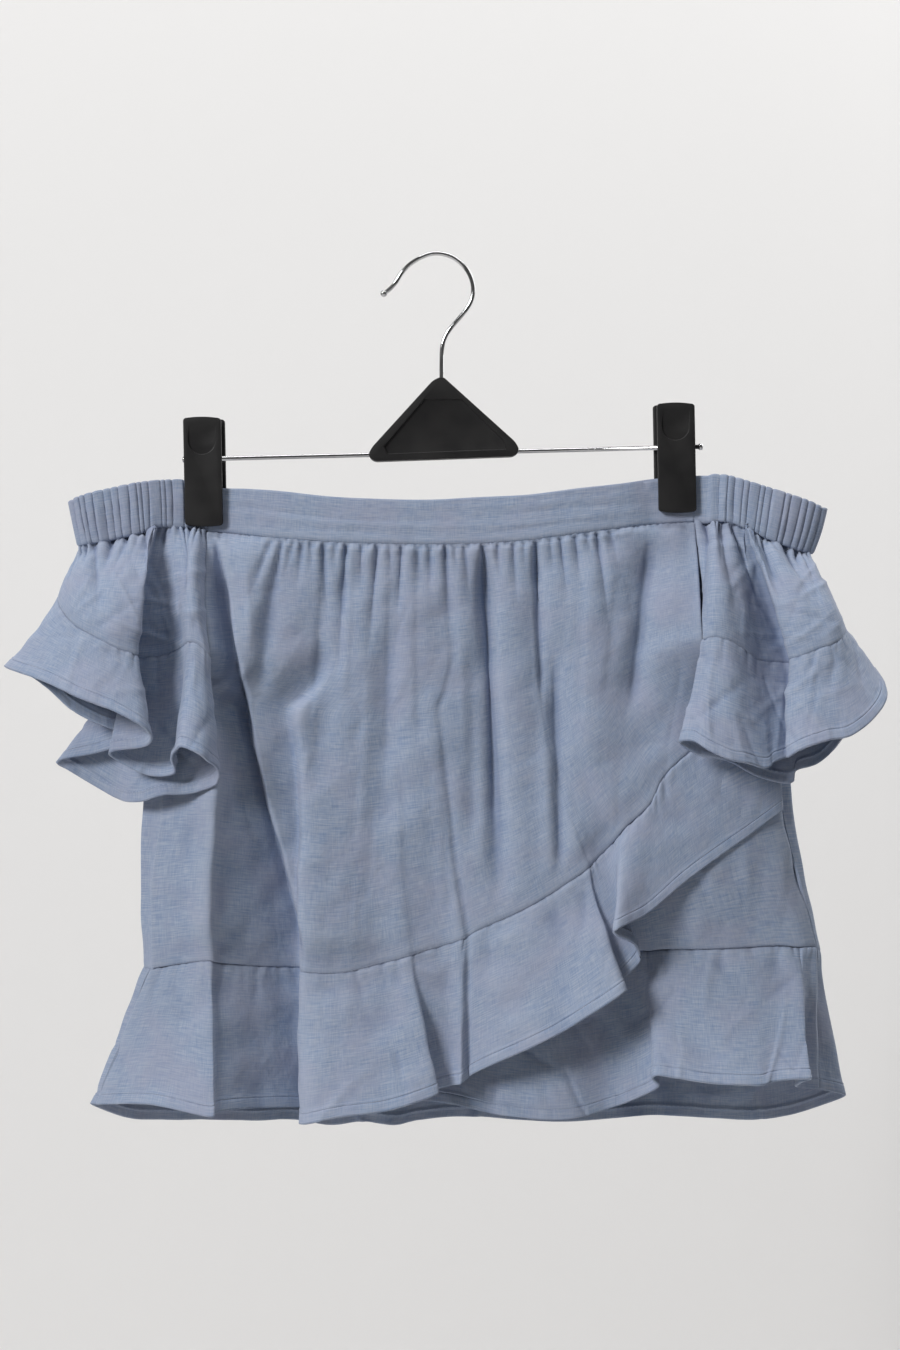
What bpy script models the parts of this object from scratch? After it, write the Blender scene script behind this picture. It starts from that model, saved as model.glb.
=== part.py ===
"""Ruffled off-shoulder top on a clip hanger, built in Blender as separate cloth pieces and hanger parts.

Tables are in millimetres: +X to the right of the photograph, +Z up, the garment's front towards -Y.
The origin is the inner top of the hanger's hook, where a rail carries it.
"""
import math

import bmesh
import bpy
from mathutils import Vector

MM = 0.001
WALL = 1.2            # cloth thickness of every piece
SEAM_GAP = 0.7        # distance left free between two pieces that are sewn together
SLEEVE_LIFT = 0.5     # further distance of a sleeve's edge from its slanting flounce seam
WELD = 0.01           # points closer than this are one point
ROW_STEP = 0.05       # how far to each side a seam's direction is taken, in table rows
LOOP_STEP = 0.01      # the same round a casing, as a share of its length
FLARE_SHARE = 0.45    # how much of a flounce's depth opens towards its hem instead of evenly
SLEEVE_BULGE = 0.9    # below 1 a sleeve fills out faster under its elastic
CLOTH_PIECES = "ruffled_top"

# Seam and hem of each flounce, one row for each ridge and valley:
# seam x, seam y, seam z, hem x, hem y, hem z
WRAP_ROWS = (
    (-169, -9, -428, -202, -12, -508),
    (-150, -15, -424, -167, -34, -504),
    (-134, -21, -421, -132, -44, -508),
    (-126, -19, -422, -126, -31, -506),
    (-111, -15, -425, -110, -19, -508),
    (-86, -14, -428, -76, -16, -512),
    (-79, -19, -428, -77, -36, -514),
    (-56, -24, -428, -53, -48, -508),
    (-33, -26, -423, -26, -47, -505),
    (-18, -27, -419, 2, -44, -496),
    (-11, -25, -417, -3, -29, -497),
    (3, -23, -413, 9, -27, -494),
    (18, -21, -408, 17, -24, -491),
    (28, -24, -403, 26, -34, -485),
    (56, -26, -389, 64, -44, -465),
    (86, -26, -370, 108, -50, -438),
    (92, -24, -365, 105, -36, -436),
    (97, -22, -360, 121, -29, -420),
    (104, -22, -353, 117, -37, -410),
    (112, -25, -343, 105, -50, -401),
    (126, -25, -330, 124, -45, -392),
    (136, -23, -312, 147, -38, -374),
    (157, -20, -294, 168, -32, -359),
    (184, -15, -278, 187, -24, -346),
    (204, -12, -270, 206, -14, -333),
)
UNDER_ROWS = (
    (-42, -10, -430, -46, -11, -506),
    (-3, -10, -427, 1, -14, -506),
    (39, -10, -424, 38, -18, -513),
    (74, -11, -421, 76, -22, -515),
    (101, -10, -419, 101, -17, -510),
    (117, -10, -418, 115, -21, -504),
    (123, -11, -417, 129, -29, -495),
    (128, -12, -417, 126, -38, -488),
    (136, -13, -416, 132, -44, -485),
    (157, -15, -416, 157, -46, -489),
    (184, -15, -415, 186, -46, -491),
    (204, -14, -414, 198, -42, -489),
    (215, -13, -415, 219, -44, -487),
    (220, -12, -415, 214, -31, -492),
    (224, -10, -415, 214, -21, -496),
    (227, -8, -415, 226, -15, -498),
)
BACK_ROWS = (
    (228, -6, -416, 229, -12, -499),
    (231, 0, -418, 244, -4, -504),
    (228, 7, -420, 233, 8, -512),
    (208, 10, -422, 212, 17, -520),
    (184, 10, -423, 185, 20, -523),
    (139, 9, -423, 132, 9, -518),
    (93, 10, -423, 79, 19, -524),
    (48, 8, -423, 21, 10, -519),
    (12, 9, -423, -8, 16, -522),
    (-9, 10, -423, -25, 20, -526),
    (-34, 9, -423, -45, 13, -523),
    (-55, 9, -423, -64, 18, -526),
    (-76, 9, -423, -85, 12, -521),
    (-103, 10, -423, -113, 19, -523),
    (-154, 9, -423, -167, 16, -522),
    (-170, 6, -424, -187, 8, -519),
    (-175, 0, -427, -206, -1, -510),
    (-171, -6, -428, -203, -8, -508),
)
LEFT_FLOUNCE_ROWS = (
    (-170, -13, -266, -160, -27, -323),
    (-151, -18, -262, -144, -29, -322),
    (-137, -23, -252, -129, -34, -317),
    (-132, -28, -244, -126, -42, -309),
    (-135, -33, -238, -131, -52, -302),
    (-140, -36, -234, -140, -57, -296),
    (-144, -35, -233, -148, -54, -294),
    (-147, -32, -234, -153, -46, -301),
    (-150, -28, -236, -152, -39, -310),
    (-157, -24, -239, -165, -34, -312),
    (-163, -22, -241, -176, -31, -309),
    (-168, -22, -242, -190, -30, -301),
    (-171, -27, -242, -189, -37, -297),
    (-172, -35, -241, -169, -47, -294),
    (-173, -42, -241, -164, -56, -288),
    (-177, -46, -239, -170, -62, -281),
    (-186, -47, -236, -185, -61, -273),
    (-198, -44, -230, -206, -57, -265),
    (-211, -36, -223, -228, -44, -256),
    (-221, -25, -213, -253, -26, -248),
    (-224, -14, -205.5, -247, -18, -249),
    (-220, -6, -202, -231, -20, -259),
    (-214, -1, -207, -215, -21, -273),
    (-208, 2, -217, -195, -21, -283),
    (-203, 3, -227, -181, -19, -287),
    (-199, 3.5, -235, -183, -13, -292),
    (-195, 6, -242, -203, -6, -299),
    (-189, 9, -249, -227, 0, -304),
    (-183, 7, -256, -219, 5, -311),
    (-179, 1, -261, -192, 1, -326),
    (-175, -7, -265, -177, -13, -328),
)
RIGHT_FLOUNCE_ROWS = (
    (157, -28, -234, 143, -42, -292),
    (159, -32, -231, 150, -49, -291),
    (164, -35, -230, 158, -54, -296),
    (172, -35, -232, 171, -56, -301),
    (182, -31, -237, 184, -52, -304),
    (191, -27, -243, 194, -45, -306),
    (196, -24, -244, 199, -38, -303),
    (201, -24, -245, 203, -37, -300),
    (205, -30, -244.5, 206, -43, -299),
    (208, -38, -243, 207, -53, -300),
    (214, -43, -241, 214, -57, -295),
    (223, -42, -237, 227, -55, -290),
    (232, -37, -234, 240, -51, -287),
    (238, -29, -230, 254, -44, -277),
    (242, -18, -226, 264, -32, -264),
    (243, -9, -224, 262, -22, -253),
    (240, -3, -229, 254, -17, -266),
    (236, 1, -237, 243, -14, -288),
    (229, 1, -247, 228, -16, -304),
    (221, -3, -257, 213, -22, -309),
    (213, -9, -265, 209, -28, -316),
    (203, -15, -269, 191, -32, -313),
    (186, -19, -264, 171, -34, -303),
    (169, -24, -254, 154, -36, -299),
)

# Upper sleeves, one row for each fold line from elastic to flounce:
# top x, top y, top z, row of the flounce table under it
LEFT_SLEEVE_ROWS = (
    (-138.6, -3, -166.5, 3.6),
    (-147, -5, -165.5, 5.2),
    (-151, -5.5, -165, 6.8),
    (-158, -6, -164, 9.0),
    (-166, -6.5, -164.5, 11.0),
    (-168, -7, -165.5, 12.2),
    (-170, -8, -166.5, 13.8),
    (-175, -8.5, -168.5, 15.0),
    (-187, -8, -171, 16.2),
    (-198, -7, -173, 17.0),
    (-208, -5, -175, 18.0),
    (-214.5, 0, -176, 20.0),
    (-208, 5, -175, 22.0),
    (-195, 7, -173, 24.0),
    (-175, 7.5, -169, 26.3),
    (-156, 6.5, -165, 28.0),
    (-139, 3, -167, 29.6),
)
RIGHT_SLEEVE_ROWS = (
    (156.2, -3, -161.5, 0.5),
    (163, -5, -162.5, 1.4),
    (168, -7, -162, 2.4),
    (174, -8, -161.5, 3.4),
    (179, -8, -162.5, 4.4),
    (182, -8, -164, 5.4),
    (184.5, -8.5, -165.5, 7.0),
    (186.5, -10, -166.5, 9.0),
    (193, -10, -169.5, 10.0),
    (200, -9, -172.5, 11.0),
    (212, -8, -177, 12.0),
    (220, -6, -179.5, 13.2),
    (225.5, 0, -180.5, 14.8),
    (218, 6, -179, 16.0),
    (200, 7.5, -173.5, 17.6),
    (180, 7.5, -165, 18.8),
    (156.5, 3, -162, 20.0),
)

# Neck band: x, depth in front of or behind the middle plane, top z, bottom z
BAND_ROWS = (
    (-137, 1.4, -140, -165.5),
    (-125, 1.5, -140.5, -166.5),
    (-112, 5, -141, -168),
    (-93, 9, -142.5, -170),
    (-63, 12, -146, -172.5),
    (-34, 13, -147.5, -173.5),
    (-4, 13, -148, -174),
    (25, 13, -146.5, -173.5),
    (55, 13, -145, -171.5),
    (85, 11, -141, -167.5),
    (110, 7, -138, -164),
    (129, 1.8, -135, -161.5),
    (143, 1.4, -134, -160.5),
    (155, 1.4, -133, -160),
)
SIDE_SPREAD = 2.0         # how fast a side edge's outline fades into its panel
SIDE_DEPTH_FADE = 9.0     # the same for the side edge's depth
BACK_BAND_DROP = 2.0      # how far the back of the neck hangs lower than its front
BACK_BAND_BULGE = 0.75    # depth of the back band as a share of the front band's

# Elastic casings, front half from the band to the sleeve's end: x at top, x at bottom, depth, top z, bottom z
LEFT_ELASTIC_ROWS = (
    (-137.8, -137.8, 1.4, -138, -165.5),
    (-151, -151, 2.2, -136.5, -164),
    (-165, -165, 6, -137, -163.5),
    (-177, -176, 8, -138.5, -167.5),
    (-192, -187, 8.5, -141.5, -170),
    (-207, -199, 7.5, -145, -172.5),
    (-216, -209, 5, -148, -174),
    (-220, -214.5, 0, -150, -175),
)
RIGHT_ELASTIC_ROWS = (
    (155.8, 155.8, 1.4, -133, -160.5),
    (160, 160, 2.0, -133, -161),
    (174, 174, 6, -134, -160.5),
    (191, 186, 8, -139, -165),
    (208, 200, 8.5, -144.5, -171.5),
    (222, 212, 7, -149, -176),
    (230, 220, 4.5, -152.5, -178.5),
    (234, 225.5, 0, -154, -179.5),
)
LEFT_GATHERS = 13         # pinches in each half of the left casing
RIGHT_GATHERS = 12
PINCH_DEPTH = 1.3
PINCH_CREST_RISE = 0.9    # how far the casing's edge rises between two pinches
PINCH_EDGE_SHARE = 0.45   # depth of a pinch at the casing's edges as a share of that in its middle
PINCH_FREE = 0.12         # share of the loop at each end that the clip holds flat
PINCH_BLEND = 0.08

# Edges of the front panel: x, y, z
FRONT_LEFT_EDGE = (
    (-137, -2.2, -166.5), (-137.4, -8, -185), (-137.2, -15, -205), (-135, -22, -225),
    (-133.5, -26, -240), (-139, -23, -250), (-153, -16, -258), (-169, -10, -263.5),
    (-165, -9, -291), (-163, -9, -332), (-168, -9, -370), (-169, -9, -400), (-169, -9, -427),
)
FRONT_RIGHT_EDGE = (
    (155, -2.2, -161), (155.6, -8, -180), (156.2, -15, -202), (156.8, -21, -222), (158.5, -23, -234),
    (168, -18, -247), (183, -13, -258), (204, -10, -268),
)
# Share of the columns against share of the panel's width, denser where the gathers are
FRONT_COLUMNS = ((0.0, 0.0), (0.11, 0.16), (0.89, 0.84), (1.0, 1.0))

# Folds of the front, positive depth standing out of the cloth:
# x and z at the top, x and z at the bottom, depth, width to the left, width to the right
FRONT_FOLDS = (
    (-132, -262, -131, -424, 9, 22, 6),
    (-131, -172, -69, -430, 8, 5, 34),
    (28, -172, 37, -372, -6, 6, 9),
    (36, -172, 46, -360, 3, 5, 14),
    (58, -172, 66, -300, -3, 7, 9),
    (70, -240, 73, -365, -4, 6, 9),
    (22, -240, 22, -345, -3, 6, 6),
    (-29, -230, -30, -330, -3, 8, 9),
    (-55, -180, -70, -310, -3, 9, 9),
    (-86, -178, -112, -280, -3, 8, 9),
    (128, -176, 116, -268, -4, 8, 10),
    (100, -180, 96, -300, 3, 12, 12),
    (-10, -200, -8, -360, 3, 12, 12),
)
# Gathers under the band: x, sideways drift, depth, length
FRONT_GATHERS = (
    (-91, -8, 2.6, 44), (-80, -4, 1.6, 18), (-74, 0, 2.2, 24), (-67, 2, 2.4, 30), (-53, -4, 2.8, 60),
    (-44, 0, 2.0, 26), (-34, -5, 2.6, 50), (-20, -2, 2.4, 40), (-10, 0, 1.8, 20), (-3, 0, 2.2, 24),
    (6, 2, 2.4, 40), (17, 3, 2.0, 26), (37, 1, 2.0, 20), (46, 2, 2.6, 30), (60, 3, 3.0, 60),
    (74, 4, 2.4, 30), (83, 3, 2.4, 26), (96, 6, 2.8, 50), (104, 4, 2.0, 20),
)
GATHER_WIDTH = 4.2
GATHER_TAIL = 1.6         # where a gather has run out, as a multiple of its length
FOLD_RUN_OUT = 0.15       # share of a fold's length over which it fades past each end
# Shares of the front's width or height over which its folds fade at an edge
SIDE_FADE = 0.05
HEM_FADE = 0.12
BAND_FADE = 0.12
GATHER_FADE = 0.04

# Front panel under the wrap: edges, x, y, z
LOWER_TOP_EDGE = (
    (-42, -15, -427), (9, -16, -412), (48, -17, -393), (84, -17, -373), (112, -17, -346),
    (136, -16, -315), (157, -14, -296), (184, -10, -281), (204, -7.5, -272),
)
LOWER_RIGHT_EDGE = (
    (204, -7.5, -272), (205, -8, -300), (206.5, -8, -335), (210, -8, -352), (215, -8, -372), (222.8, -7.5, -398),
    (227, -7.5, -414),
)

# Back panel below its seam with the band, one row for each height:
# z at left, z at right, left seam x, left fold x, right fold x, right seam x, seam y, fold y,
# depth of the flat part
BACK_SECTIONS = (
    (-200, -197, -147.5, -146, 170, 171.5, 0.8, 2.5, 13),
    (-235, -232, -159, -157, 187, 189, -1.2, 1.5, 15),
    (-263, -266, -167.5, -168.5, 206.5, 206, -4.8, 0.5, 15),
    (-300, -300, -165, -173.5, 212.5, 206, -7, 0, 14),
    (-335, -335, -165, -176, 215, 207.5, -7, 0, 13),
    (-370, -372, -170, -177.5, 220, 216, -7, 0, 12),
    (-400, -398, -170.5, -175.5, 226, 223.5, -6.5, 0, 11),
)
BACK_TURN = 8.0           # distance from a side fold to where the back has most of its depth
BACK_TURN_SHARE = 0.7     # how much of its depth it has there
BACK_SHOULDER = 40.0      # distance from a side fold to the flat part
BACK_MIDDLE_SHARE = 0.4   # place of the deepest point between the two side folds
BACK_MIDDLE_EXTRA = 1.0

# Hanger, all in millimetres
WIRE_RADIUS = 1.35
# Hook wire from its open end over the top and down to the block: x, z
HOOK_PATH = (
    (-31, -23.5), (-25.5, -20), (-19, -8.5), (-10, -2), (0, 1.35), (11.5, -1.5), (19.5, -9.5),
    (23, -19), (22, -27.5), (18, -34), (10, -43), (5.5, -49.5), (3.8, -56), (3.6, -64), (3.6, -79),
)
HOOK_TIP_RADIUS = 2.1
# Corners of the block, counter-clockwise from its top: x, z
BLOCK_OUTLINE = (
    (4.2, -73.5), (-1.5, -76), (-38, -116), (-40.5, -121), (-37, -124.5), (47, -121.5),
    (50.5, -118), (48, -113),
)
BLOCK_DEPTH = 9.0
BLOCK_RIM = 2.6
BLOCK_RECESS = 1.4
BLOCK_BEVEL = 1.2
WIRE_FOOT_ROOM = 1.0      # how much deeper the block's hole for the wire is than the wire
ROD_RADIUS = 1.4
ROD_LEFT = (-149.5, -123.1)
ROD_RIGHT = (158, -115.5)
ROD_STOP_RADIUS = 2.1
ROD_STOP_LENGTH = 2.4
ROD_STOP_BITE = 0.6       # how far a stop reaches over the rod's end
ROD_CLEARANCE = 0.35
BORE_OVERRUN = 15.0       # how far a cutter stands out of what it cuts
# Clips: x of the middle, z of the top, z of the bottom
CLIPS = {"left": (-139.0, -99.0, -162.6), "right": (144.2, -90.5, -154.4)}
CLIP_WIDTH = 22.6
CLIP_TAPER = 0.6
JAW_THICKNESS = 3.4
JAW_GAP = 2.5             # distance of each jaw's face from the middle plane
JAW_BEVEL = 1.5
BACK_JAW_SHIFT = 1.6
THUMB_RADIUS = 8.0
THUMB_DEPTH = 0.9
THUMB_DROP = 14.8         # distance from the jaw's top down to the middle of the thumb recess
BARREL_RADIUS = 2.2       # steel barrel between the jaws, round the rod
BARREL_LENGTH = 15.0

CHAMBRAY = ("chambray", (0.29, 0.36, 0.50, 1.0), 0.9, 0.0)
PLASTIC = ("black_plastic", (0.012, 0.012, 0.013, 1.0), 0.5, 0.0)
CHROME = ("chrome_wire", (0.62, 0.62, 0.63, 1.0), 0.22, 1.0)


def clear_scene():
    for item in list(bpy.data.objects):
        bpy.data.objects.remove(item, do_unlink=True)


def make_collection(name, cutters=False):
    group = bpy.data.collections.new(name)
    bpy.context.scene.collection.children.link(group)
    group.hide_render = cutters
    return group


def make_material(node_name, look):
    slot, colour, roughness, metallic = look
    material = bpy.data.materials.new(f"{slot}_{node_name}")
    material.use_nodes = True
    shader = material.node_tree.nodes["Principled BSDF"]
    shader.inputs["Base Color"].default_value = colour
    shader.inputs["Roughness"].default_value = roughness
    shader.inputs["Metallic"].default_value = metallic
    material.diffuse_color = colour
    return material


def link_object(name, mesh, group, look):
    item = bpy.data.objects.new(name, mesh)
    group.objects.link(item)
    item.data.materials.append(make_material(name, look))
    return item


def ease(t):
    """Smooth step from 0 to 1."""
    t = min(max(t, 0.0), 1.0)
    return t * t * (3.0 - 2.0 * t)


def along(points, t, closed=False):
    """Smooth curve through the points; t counts them."""
    count = len(points)
    if closed:
        t %= count
    else:
        t = min(max(t, 0.0), count - 1.0)
    start = int(math.floor(t))
    if not closed:
        start = min(start, count - 2)
    part = t - start

    def pick(index):
        if closed:
            return points[index % count]
        if index < 0:
            return points[0] * 2.0 - points[1]
        if index >= count:
            return points[-1] * 2.0 - points[-2]
        return points[index]

    before, here, there, after = (pick(start + step) for step in (-1, 0, 1, 2))
    slope_here = (there - before) * 0.5
    slope_there = (after - here) * 0.5
    square, cube = part * part, part * part * part
    return (here * (2 * cube - 3 * square + 1) + slope_here * (cube - 2 * square + part)
            + there * (3 * square - 2 * cube) + slope_there * (cube - square))


def vectors(rows, first=0):
    return [Vector(row[first:first + 3]) for row in rows]


def by_length(points, share):
    """Point at a share of the polyline's length, on the smooth curve."""
    steps = [(b - a).length for a, b in zip(points, points[1:])]
    wanted = share * sum(steps)
    for index, step in enumerate(steps):
        if wanted <= step or index == len(steps) - 1:
            return along(points, index + min(wanted / step, 1.0))
        wanted -= step
    return points[-1].copy()


def cloth(name, surface, columns, rows, group, closed=False):
    """Grid moved by surface(u, v), v running down, thickened to a wall."""
    work = bmesh.new()
    bmesh.ops.create_grid(work, x_segments=columns, y_segments=rows, size=0.5)
    for vertex in work.verts:
        point = surface(vertex.co.x + 0.5, 0.5 - vertex.co.y)
        vertex.co = point * MM
    if closed:
        bmesh.ops.remove_doubles(work, verts=work.verts, dist=WELD * MM)
    for face in work.faces:
        face.smooth = True
    mesh = bpy.data.meshes.new(name)
    work.to_mesh(mesh)
    work.free()
    item = link_object(name, mesh, group, CHAMBRAY)
    wall = item.modifiers.new("wall", "SOLIDIFY")
    wall.thickness = WALL * MM
    wall.offset = 0.0
    return item


def flounce(name, table, columns, rows, group, closed=False):
    """Ruffle hanging from its seam, from a table of ridges and valleys."""
    seam, hem = vectors(table), vectors(table, 3)
    last = len(table) if closed else len(table) - 1

    def surface(u, v):
        t = u * last
        top, bottom = along(seam, t, closed), along(hem, t, closed)
        seam_line = (along(seam, t + ROW_STEP, closed) - along(seam, t - ROW_STEP, closed)).normalized()
        fall = (bottom - top).normalized()
        top += (fall - seam_line * fall.dot(seam_line)).normalized() * SEAM_GAP
        flare = v * v * (3 - v) * 0.5
        point = top.lerp(bottom, v)
        point.y = top.y + (bottom.y - top.y) * ((1 - FLARE_SHARE) * v + FLARE_SHARE * flare)
        return point

    return cloth(name, surface, columns, rows, group, closed)


def patch(top, bottom, left, right):
    """Surface between a top and a bottom edge that meets two side edges; the sides' depth fades fast."""
    def surface(u, v):
        from_left = left(v) - top(0.0).lerp(bottom(0.0), v)
        from_right = right(v) - top(1.0).lerp(bottom(1.0), v)
        point = top(u).lerp(bottom(u), v)
        for shift, reach in ((from_left, 1.0 - u), (from_right, u)):
            spread, fade = reach ** SIDE_SPREAD, reach ** SIDE_DEPTH_FADE
            point += Vector((shift.x * spread, shift.y * fade, shift.z * spread))
        return point

    return surface


def fold_height(x, z, fold):
    x_top, z_top, x_bottom, z_bottom, depth, left, right = fold
    share = (z_top - z) / (z_top - z_bottom)
    middle = x_top + (x_bottom - x_top) * share
    width = left if x < middle else right
    blend = 2 * FOLD_RUN_OUT
    ends = ease((share + FOLD_RUN_OUT) / blend) * ease((1 + FOLD_RUN_OUT - share) / blend)
    return depth * ends * math.exp(-((x - middle) / width) ** 2)


def gather_height(x, z, gather, seam_z):
    x_top, drift, depth, length = gather
    down = max((seam_z - z) / length, 0.0)
    middle = x_top + drift * down
    return -depth * (1.0 - ease(down / GATHER_TAIL)) * math.exp(-((x - middle) / GATHER_WIDTH) ** 2)


def column_share(u):
    for (low, x_low), (high, x_high) in zip(FRONT_COLUMNS, FRONT_COLUMNS[1:]):
        if u <= high:
            return x_low + (x_high - x_low) * (u - low) / (high - low)
    return 1.0


def band_point(side, u, v):
    """Neck band, front for side -1 and back for side 1; v runs from its top to its seam."""
    t = u * (len(BAND_ROWS) - 1)
    high = along([Vector((x, depth, top)) for x, depth, top, _bottom in BAND_ROWS], t)
    low = along([Vector((x, depth, bottom)) for x, depth, _top, bottom in BAND_ROWS], t)
    point = high.lerp(low, v)
    if side > 0:
        flat = BAND_ROWS[0][1]
        point.y = flat + (point.y - flat) * BACK_BAND_BULGE
        point.z -= BACK_BAND_DROP * math.sin(math.pi * u)
    point.y *= side
    return point


def build_front(group):
    drop = Vector((0, 0, -SEAM_GAP))
    band = [band_point(-1, index / (len(BAND_ROWS) - 1), 1.0) + drop for index in range(len(BAND_ROWS))]
    seam = vectors(WRAP_ROWS)
    left, right = vectors(FRONT_LEFT_EDGE), vectors(FRONT_RIGHT_EDGE)
    spanned = patch(lambda u: by_length(band, u), lambda u: by_length(seam, u),
                    lambda v: by_length(left, v), lambda v: by_length(right, v))

    def surface(u, v):
        share = column_share(u)
        point = spanned(share, v)
        seam_z = by_length(band, share).z
        fade = ease((1 - v) / HEM_FADE) * ease(share / SIDE_FADE) * ease((1 - share) / SIDE_FADE)
        folds = sum(fold_height(point.x, point.z, fold) for fold in FRONT_FOLDS)
        gathers = sum(gather_height(point.x, point.z, gather, seam_z) for gather in FRONT_GATHERS)
        point.y -= (folds * ease(v / BAND_FADE) + gathers * ease(v / GATHER_FADE)) * fade
        return point

    return cloth("front_body", surface, 80, 11, group)


def build_lower_front(group):
    top, right = vectors(LOWER_TOP_EDGE), vectors(LOWER_RIGHT_EDGE)
    hem = vectors(UNDER_ROWS)
    left = [top[0], hem[0]]
    surface = patch(lambda u: by_length(top, u), lambda u: by_length(hem, u),
                    lambda v: by_length(left, v), lambda v: by_length(right, v))
    return cloth("lower_front", surface, 26, 6, group)


def build_back(group):
    hem = vectors(BACK_ROWS)
    hem_count = len(hem) - 1

    def section(row, u):
        z_left, z_right, seam_l, fold_l, fold_r, seam_r, seam_y, fold_y, depth = row
        turn_y = depth * BACK_TURN_SHARE
        middle = fold_l + (fold_r - fold_l) * BACK_MIDDLE_SHARE
        across = (
            (seam_r, seam_y), (fold_r, fold_y), (fold_r - BACK_TURN, turn_y), (fold_r - BACK_SHOULDER, depth),
            (middle, depth + BACK_MIDDLE_EXTRA), (fold_l + BACK_SHOULDER, depth), (fold_l + BACK_TURN, turn_y),
            (fold_l, fold_y), (seam_l, seam_y),
        )
        stops = [Vector((x, y, z_right + (z_left - z_right) * (seam_r - x) / (seam_r - seam_l)))
                 for x, y in across]
        return along(stops, u * (len(stops) - 1))

    def surface(u, v):
        levels = [band_point(1, 1.0 - u, 1.0) - Vector((0, 0, SEAM_GAP))]
        levels += [section(row, u) for row in BACK_SECTIONS]
        levels.append(along(hem, u * hem_count))
        return along(levels, v * (len(levels) - 1))

    return cloth("back_body", surface, 32, 8, group)


def build_band(name, side, group):
    return cloth(name, lambda u, v: band_point(side, u, v), 30, 3, group)


def build_elastic(name, table, pinches, group):
    top = [Vector((row[0], -row[2], row[3])) for row in table]
    low = [Vector((row[1], -row[2], row[4])) for row in table]
    top += [Vector((point.x, -point.y, point.z)) for point in reversed(top[:-1])]
    low += [Vector((point.x, -point.y, point.z)) for point in reversed(low[:-1])]
    turns = 2 * pinches
    way = 1 if top[1].x > top[0].x else -1

    def surface(u, v):
        high, foot = by_length(top, u), by_length(low, u)
        ahead = by_length(top, min(u + LOOP_STEP, 1.0)) - by_length(top, max(u - LOOP_STEP, 0.0))
        outward = Vector((ahead.y, -ahead.x, 0)).normalized() * way
        wave = 0.5 - 0.5 * math.cos(2 * math.pi * turns * u)
        clear = ease((u - PINCH_FREE) / PINCH_BLEND) * ease((1 - PINCH_FREE - u) / PINCH_BLEND)
        swell = PINCH_EDGE_SHARE + (1 - PINCH_EDGE_SHARE) * math.sin(math.pi * v)
        point = high.lerp(foot, v)
        point += outward * PINCH_DEPTH * wave * clear * swell
        point.z += PINCH_CREST_RISE * wave * clear * (1 - v)
        return point

    return cloth(name, surface, turns * 3, 2, group)


def build_sleeve(name, table, flounce_table, columns, group):
    seam = vectors(flounce_table)
    top = vectors(table)
    ring_rows = [Vector((row[3], 0, 0)) for row in table]

    def surface(u, v):
        t = u * (len(table) - 1)
        high = along(top, t)
        foot = along(seam, along(ring_rows, t).x, True)
        foot += (high - foot).normalized() * SLEEVE_LIFT
        point = high.lerp(foot, v)
        point.y = high.y + (foot.y - high.y) * math.sin(0.5 * math.pi * v) ** SLEEVE_BULGE
        return point

    return cloth(name, surface, columns, 5, group)


def tube(name, path, radius, group, look):
    """Round wire along a path, with closed ends."""
    curve = bpy.data.curves.new(name, "CURVE")
    curve.dimensions = "3D"
    curve.bevel_depth = radius * MM
    curve.bevel_resolution = 1
    curve.use_fill_caps = True
    curve.resolution_u = 3
    line = curve.splines.new("NURBS")
    line.points.add(len(path) - 1)
    for spot, point in zip(line.points, path):
        spot.co = (*(point * MM), 1.0)
    line.use_endpoint_u = True
    line.order_u = 3
    item = bpy.data.objects.new(name, curve)
    group.objects.link(item)
    curve.materials.append(make_material(name, look))
    return item


def sphere_mesh(centre, radius):
    work = bmesh.new()
    bmesh.ops.create_uvsphere(work, u_segments=12, v_segments=8, radius=radius * MM)
    bmesh.ops.translate(work, verts=work.verts, vec=centre * MM)
    mesh = bpy.data.meshes.new("ball")
    work.to_mesh(mesh)
    work.free()
    return mesh


def cylinder_mesh(name, start, end, radius, sides=16):
    work = bmesh.new()
    span = end - start
    bmesh.ops.create_cone(work, cap_ends=True, segments=sides, radius1=radius * MM, radius2=radius * MM,
                          depth=span.length * MM)
    turn = span.to_track_quat("Z", "Y")
    for vertex in work.verts:
        vertex.co = turn @ vertex.co + (start + end) * 0.5 * MM
    mesh = bpy.data.meshes.new(name)
    work.to_mesh(mesh)
    work.free()
    return mesh


def as_mesh(item, group, look):
    """Plain mesh of an object with its modifiers, in place of the object."""
    name = item.name
    graph = bpy.context.evaluated_depsgraph_get()
    mesh = bpy.data.meshes.new_from_object(item.evaluated_get(graph))
    bpy.data.objects.remove(item, do_unlink=True)
    work = bmesh.new()
    work.from_mesh(mesh)
    bmesh.ops.remove_doubles(work, verts=work.verts, dist=WELD * MM)
    work.to_mesh(mesh)
    work.free()
    mesh.materials.clear()
    return link_object(name, mesh, group, look)


def cutter(name, mesh, cutters):
    tool = bpy.data.objects.new(name, mesh)
    cutters.objects.link(tool)
    tool.display_type = "WIRE"
    tool.hide_render = True
    return tool


def boolean(item, tool, operation="DIFFERENCE"):
    step = item.modifiers.new(tool.name, "BOOLEAN")
    step.operation = operation
    step.solver = "EXACT"
    step.object = tool


def build_hook(group, cutters):
    path = [Vector((x, 0, z)) for x, z in HOOK_PATH]
    wire = as_mesh(tube("hook", path, WIRE_RADIUS, group, CHROME), group, CHROME)
    boolean(wire, cutter("hook_tip", sphere_mesh(path[0], HOOK_TIP_RADIUS), cutters), "UNION")


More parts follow.
